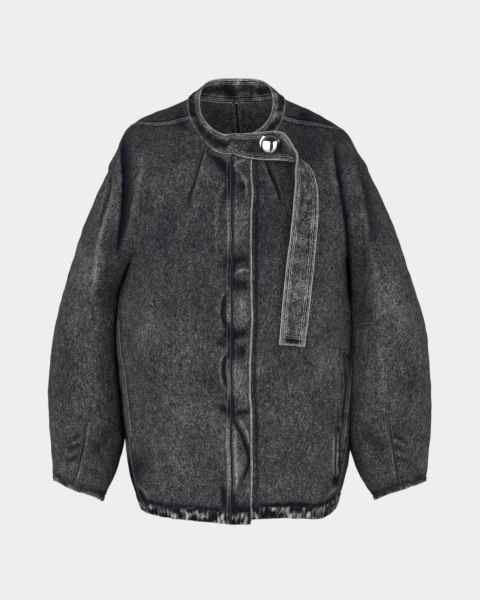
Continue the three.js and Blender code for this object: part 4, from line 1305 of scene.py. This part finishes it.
paleDetails = {
    "front_right": [
        [(-58.6, -84), (-74.2, -140), (-84, -176)],
        [(-64.4, -84), (-80.6, -140)],
        [(-199, -626), (-193, -660), (-186.5, -684)],
        [(-233.5, -126), (-223, -137)],
    ],
    "sleeve_right_front": [
        [(-233, -150), (-242, -200), (-251, -245)],
        [(-272, -568.8), (-281, -612), (-299, -697.5)],
        [(-277.8, -576), (-286.8, -617)],
    ],
    "sleeve_left_front": [
        [(272.4, -576), (279.2, -625.5), (291.8, -693)],
        [(266.8, -576), (273.4, -625.5), (286, -690)],
    ],
    "front_left": [
        [(60.6, -109.8), (71.6, -151), (80.4, -183)],
        [(43.8, -109.8), (49.2, -122.4)],
        [(178.2, -601), (178.2, -673)],
        [(171.8, -601), (171.8, -673)],
        [(217, -103), (221, -124)],
        [(223.4, -108), (227.4, -126)],
        [(215.5, -134), (229, -138)],
        [(195.4, -414), (195, -440), (193.6, -458)],
        [(188, -445), (197, -445)],
        [(187, -453), (196.5, -453)],
        [(183.5, -482), (191, -482)],
        [(179.4, -484), (178.2, -552)],
        [(182.6, -484), (181.2, -552)],
        [(176.5, -531), (185, -531)],
        [(176.5, -536), (185, -536)],
        [(171, -567), (184, -567)],
        [(171, -575), (184, -575)],
        [(170, -585), (169.6, -624), (173, -634)],
        [(171, -626), (185, -629)],
        [(190.5, -460), (194.8, -513), (191.8, -549), (189, -598)],
        [(185.2, -470), (189, -513), (186, -549), (183.6, -598)],
        [(174.6, -470), (174.6, -594)],
    ],
}
darkThreadAndShadowLines = [drawnLine(sheets[name], line) for name, lines in darkThreadAndShadowDetails.items() for line in lines]
paleLines = [drawnLine(sheets[name], line) for name, lines in paleDetails.items() for line in lines]
sewLines("dark_stitching_and_shadow_lines", darkThreadAndShadowLines, "denim", pitch=1.1, length=1.7, width=1.1, colour=darkThreadAndShadow)
sewLines("pale_detail_stitching", paleLines, "denim", pitch=3.2, length=2.4, width=0.8)

# Stitching, in rows along the seams
def linesOn(names, edge, insets, **span):
    return [lineOnSheet(sheets[name], edge, inset, **span) for name in names for inset in insets]


backs = ("back_left", "back_right")
hemLines = linesOn(list(sheets)[:5], "fromBottom", [jacket["hem"] - 1.5])
seamLines = linesOn(["front_placket"], "fromEnd", [3.0])
for name in backs:
    seamLines += linesOn([name], "fromStart", [2.2])
    seamLines += linesOn([name], "fromEnd", (2.2, 7.0), end=underarmShare)
seamLines += linesOn(["front_right"], "fromStart", (2.5, 8.5))
sewLines("hem_stitching", hemLines, "denim", colour=darkThreadAndShadow)
sewLines("seam_stitching", seamLines, "denim")
shoulderLines = linesOn(backs, "fromEnd", (2.4, 9.2), start=shoulderShare)
# Dark thread lines beside the shoulder seams are painted seam shadow
shoulderShades = linesOn(backs, "fromEnd", (0.4, 5.8), start=shoulderShare)
sewLines("shoulder_shades", shoulderShades, "denim", pitch=1.6, length=1.8, width=1.2, colour=darkThreadAndShadow)
# The dark line down the placket's seam is painted seam shadow
placketShade = linesOn(["front_placket"], "fromStart", [0.6])
shade = {"pitch": 1.6, "length": 1.8, "colour": darkThreadAndShadow}
sewLines("placket_shade", placketShade, "denim_placket", width=1.3, **shade)
sewLines("shoulder_stitching", shoulderLines, "denim", pitch=5.2, length=2.8, width=1.7)

collarLines = linesOn(["collar_band"], "fromTop", (2.8, 8.5))
collarLines += linesOn(["collar_band"], "fromBottom", (2.2, 7.0))
inside = otherSide(sheets["collar_band"])
for edge, insets in (("fromTop", (2.8, 8.5)), ("fromBottom", (2.2, 7.0, 11.5))):
    collarLines += [lineOnSheet(inside, edge, inset, lift=collarLook["insideLift"]) for inset in insets]
sewLines("collar_stitching", collarLines, "denim_collar")

strapLines = []
tackLines = []
strap = sheets["collar_strap"]
for lift, sheet in ((0.3, strap), (strapLook["thickness"] + 0.3, otherSide(strap))):
    strapLines += [lineOnSheet(sheet, "fromTop", inset, lift=lift) for inset in (2.6, 6.2, 9.8)]
    strapLines += [lineOnSheet(sheet, "fromBottom", inset, lift=lift) for inset in (2.6, 7.0)]
    for inset in (2.6, strapLook["boxEnd"]):
        tackLines.append(lineOnSheet(sheet, "fromEnd", inset, lift=lift, start=0.06, end=0.94))
    for side in ("fromTop", "fromBottom"):
        tackLines += [lineOnSheet(sheet, side, inset, lift=lift, start=0.968) for inset in (3.2, 5.4)]
sewLines("strap_stitching", strapLines, "denim_collar", pitch=3.4, length=2.8, width=1.0)
sewLines("strap_end_stitching", tackLines, "denim_collar", pitch=1.5, length=1.9, width=1.2)

sleevePieces = [f"sleeve_{name}_{face}" for name in sleeves for face in ("front", "back")]
cuffLines = linesOn(sleevePieces, "fromTop", [sleeveLook["cuffHem"] - 0.5])
sewLines("cuff_stitching", cuffLines, "denim", pitch=2.2, length=2.0, width=1.1, colour=darkThreadAndShadow)
weltLines = [
    lineOnSheet(sheets[f"pocket_welt_{name}"], edge, 2.2)
    for name in sleeves
    for edge in ("fromStart", "fromEnd")
]
sewLines("pocket_stitching", weltLines, "denim")
print("stitching made")

# The stud: a ring and a smooth dome, turned about an axis that stands off the strap
stud = {
    "x": 55,
    "height": 0.42,
    "axisHeight": 0.45,
    "lift": 2.4,
    "shift": (1.8, 0, 3.8),
    "ringShift": (-1.0, 0, 3.5),
    "ring": [(0, 0), (17.6, 0), (18.2, 0.3), (18.7, 1), (18.6, 1.6),
             (18.2, 2.2), (17.7, 2.7), (17, 3), (0, 3)],
    "domeBase": 3.3,
    "domeRadius": 17.2,
    "domeHeight": 11,
    "around": 96,
}


def turnedPiece(name, outline, seat, axis):
    outline = np.array(outline, float)
    sideways = unit(np.cross(axis, (0, 0, 1)))
    forward = np.cross(axis, sideways)
    angles = np.arange(stud["around"]) * 2 * math.pi / stud["around"]
    circle = np.cos(angles)[:, None] * sideways + np.sin(angles)[:, None] * forward
    rings = outline[1:-1, None, :1] * circle[None] + outline[1:-1, None, 1:] * axis
    ends = outline[[0, -1], 1:] * axis
    places = (np.vstack([rings.reshape(-1, 3), ends]) + seat) * mm
    count, last = len(outline) - 2, len(places) - 1
    number = np.arange(count * stud["around"]).reshape(count, stud["around"])
    following = np.roll(number, -1, axis=1)
    corners = [number[:-1], following[:-1], following[1:], number[1:]]
    faces = np.stack(corners, axis=-1).reshape(-1, 4).tolist()
    faces += [(last - 1, b, a) for a, b in zip(number[0], following[0])]
    faces += [(last, a, b) for a, b in zip(number[-1], following[-1])]
    mesh = bpy.data.meshes.new(name)
    mesh.from_pydata(places.tolist(), [], [[int(corner) for corner in face] for face in faces])
    mesh.materials.append(steel)
    mesh.shade_smooth()
    return addPiece(name, mesh)


def makeStud():
    middle = strapMiddle["places"]
    rows = middle.shape[0] - 1
    column = int(np.argmax(middle[rows // 2, :, 0] >= stud["x"]))
    axis = strapMiddle["normals"][round(stud["axisHeight"] * rows), column]
    seat = middle[round(stud["height"] * rows), column] + axis * stud["lift"] + np.array(stud["shift"])
    rise = np.linspace(0, math.pi / 2, 30)
    dome = np.c_[stud["domeRadius"] * np.cos(rise), stud["domeBase"] + stud["domeHeight"] * np.sin(rise)]
    ring = turnedPiece("stud_ring_steel", stud["ring"], seat + np.array(stud["ringShift"]), axis)
    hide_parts("stud_ring")
    outline = [(0, stud["domeBase"]), *dome[:-1].tolist(), (0, dome[-1, 1])]
    dome = turnedPiece("stud_dome_steel", outline, seat, axis)
    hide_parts("stud_dome")


makeStud()


# Floor, light and camera
studio = {
    "floorEdge": 6.0,
    "floorHeight": -1.32,
    "background": (0.855, 0.855, 0.855, 1),
    "ahead": (0.1, 0.1, 0.102, 1),
    "above": 0.28,
    "lightTarget": (0, 0, -0.1),
    "lightSize": (3.0, 2.9),
}


def makeFloor(name, corners, height, dark, pale):
    shader = Shader(name)
    tint = shader.noise(shader.place(), 3.0)
    shader.set(Base_Color=shader.mixColour(tint, dark, pale), Roughness=0.9)
    mesh = bpy.data.meshes.new(name)
    mesh.from_pydata([(x, y, height) for x, y in corners], [], [tuple(range(len(corners)))])
    mesh.materials.append(shader.material)
    floor = bpy.data.objects.new(name, mesh)
    bpy.context.scene.collection.objects.link(floor)


# The room is pale behind the jacket, and dim in front of it and overhead.
def makeRoom():
    world = bpy.data.worlds.new("studio")
    bpy.context.scene.world = world
    world.use_nodes = True
    room = NodeTree(world.node_tree)
    direction = room.node("ShaderNodeTexCoord")
    split = world.node_tree.nodes.new("ShaderNodeSeparateXYZ")
    joinSocket(world.node_tree, direction, split.inputs[0])
    behind = Value(world.node_tree, split.outputs["Y"]).ramp(-0.35, 0.75)
    overhead = Value(world.node_tree, split.outputs["Z"]).ramp(0.2, 0.9, 1.0, studio["above"])
    paint = world.node_tree.nodes["Background"]
    colour = room.mixColour(behind, studio["ahead"], studio["background"])
    joinSocket(world.node_tree, colour, paint.inputs["Color"])
    joinSocket(world.node_tree, overhead, paint.inputs["Strength"])


def softLight(name, place, power):
    lamp = bpy.data.lights.new(name, "AREA")
    lamp.shape = "RECTANGLE"
    lamp.size, lamp.size_y = studio["lightSize"]
    lamp.energy = power
    holder = bpy.data.objects.new(name, lamp)
    holder.location = place
    towards = Vector(studio["lightTarget"]) - Vector(place)
    holder.rotation_euler = towards.to_track_quat("-Z", "Y").to_euler()
    holder.visible_camera = False
    bpy.context.scene.collection.objects.link(holder)


edge = studio["floorEdge"]
makeFloor("floor", [(-edge, -edge), (edge, -edge), (edge, edge), (-edge, edge)], studio["floorHeight"],
          (0.78, 0.78, 0.78, 1), (0.82, 0.82, 0.82, 1))
# A dark cloth on the floor between the two lights draws the line down the stud
makeFloor("floor_cloth", [(0, -0.2), (-1.25, -edge), (1.25, -edge)], studio["floorHeight"] + 0.01,
          (0.02, 0.02, 0.02, 1), (0.025, 0.025, 0.025, 1))
makeRoom()
softLight("left_box", (-1.7, -1.5, 0.2), 85)
softLight("right_box", (1.7, -1.5, 0.2), 69)
bpy.context.scene.view_settings.view_transform = "Standard"

# The photograph's frame is 480 by 600 pixels, at 1.8 mm a pixel on the jacket's front
shot = {
    "width": 480,
    "height": 600,
    "scale": 1.8,
    "middleX": 239,
    "shoulderY": 100,
    "distance": 40.0,
    "frontY": -0.09,
}
lens = bpy.data.cameras.new("camera")
lens.sensor_fit = "VERTICAL"
lens.sensor_height = 24
lens.lens = shot["distance"] * lens.sensor_height / (shot["height"] * shot["scale"] * mm)
camera = bpy.data.objects.new("camera", lens)
middleX = (shot["width"] / 2 - shot["middleX"]) * shot["scale"] * mm
middleZ = (shot["shoulderY"] - shot["height"] / 2) * shot["scale"] * mm
camera.location = (middleX, shot["frontY"] - shot["distance"], middleZ)
camera.rotation_euler = (math.pi / 2, 0, 0)
bpy.context.scene.collection.objects.link(camera)
bpy.context.scene.camera = camera

print("studio made")
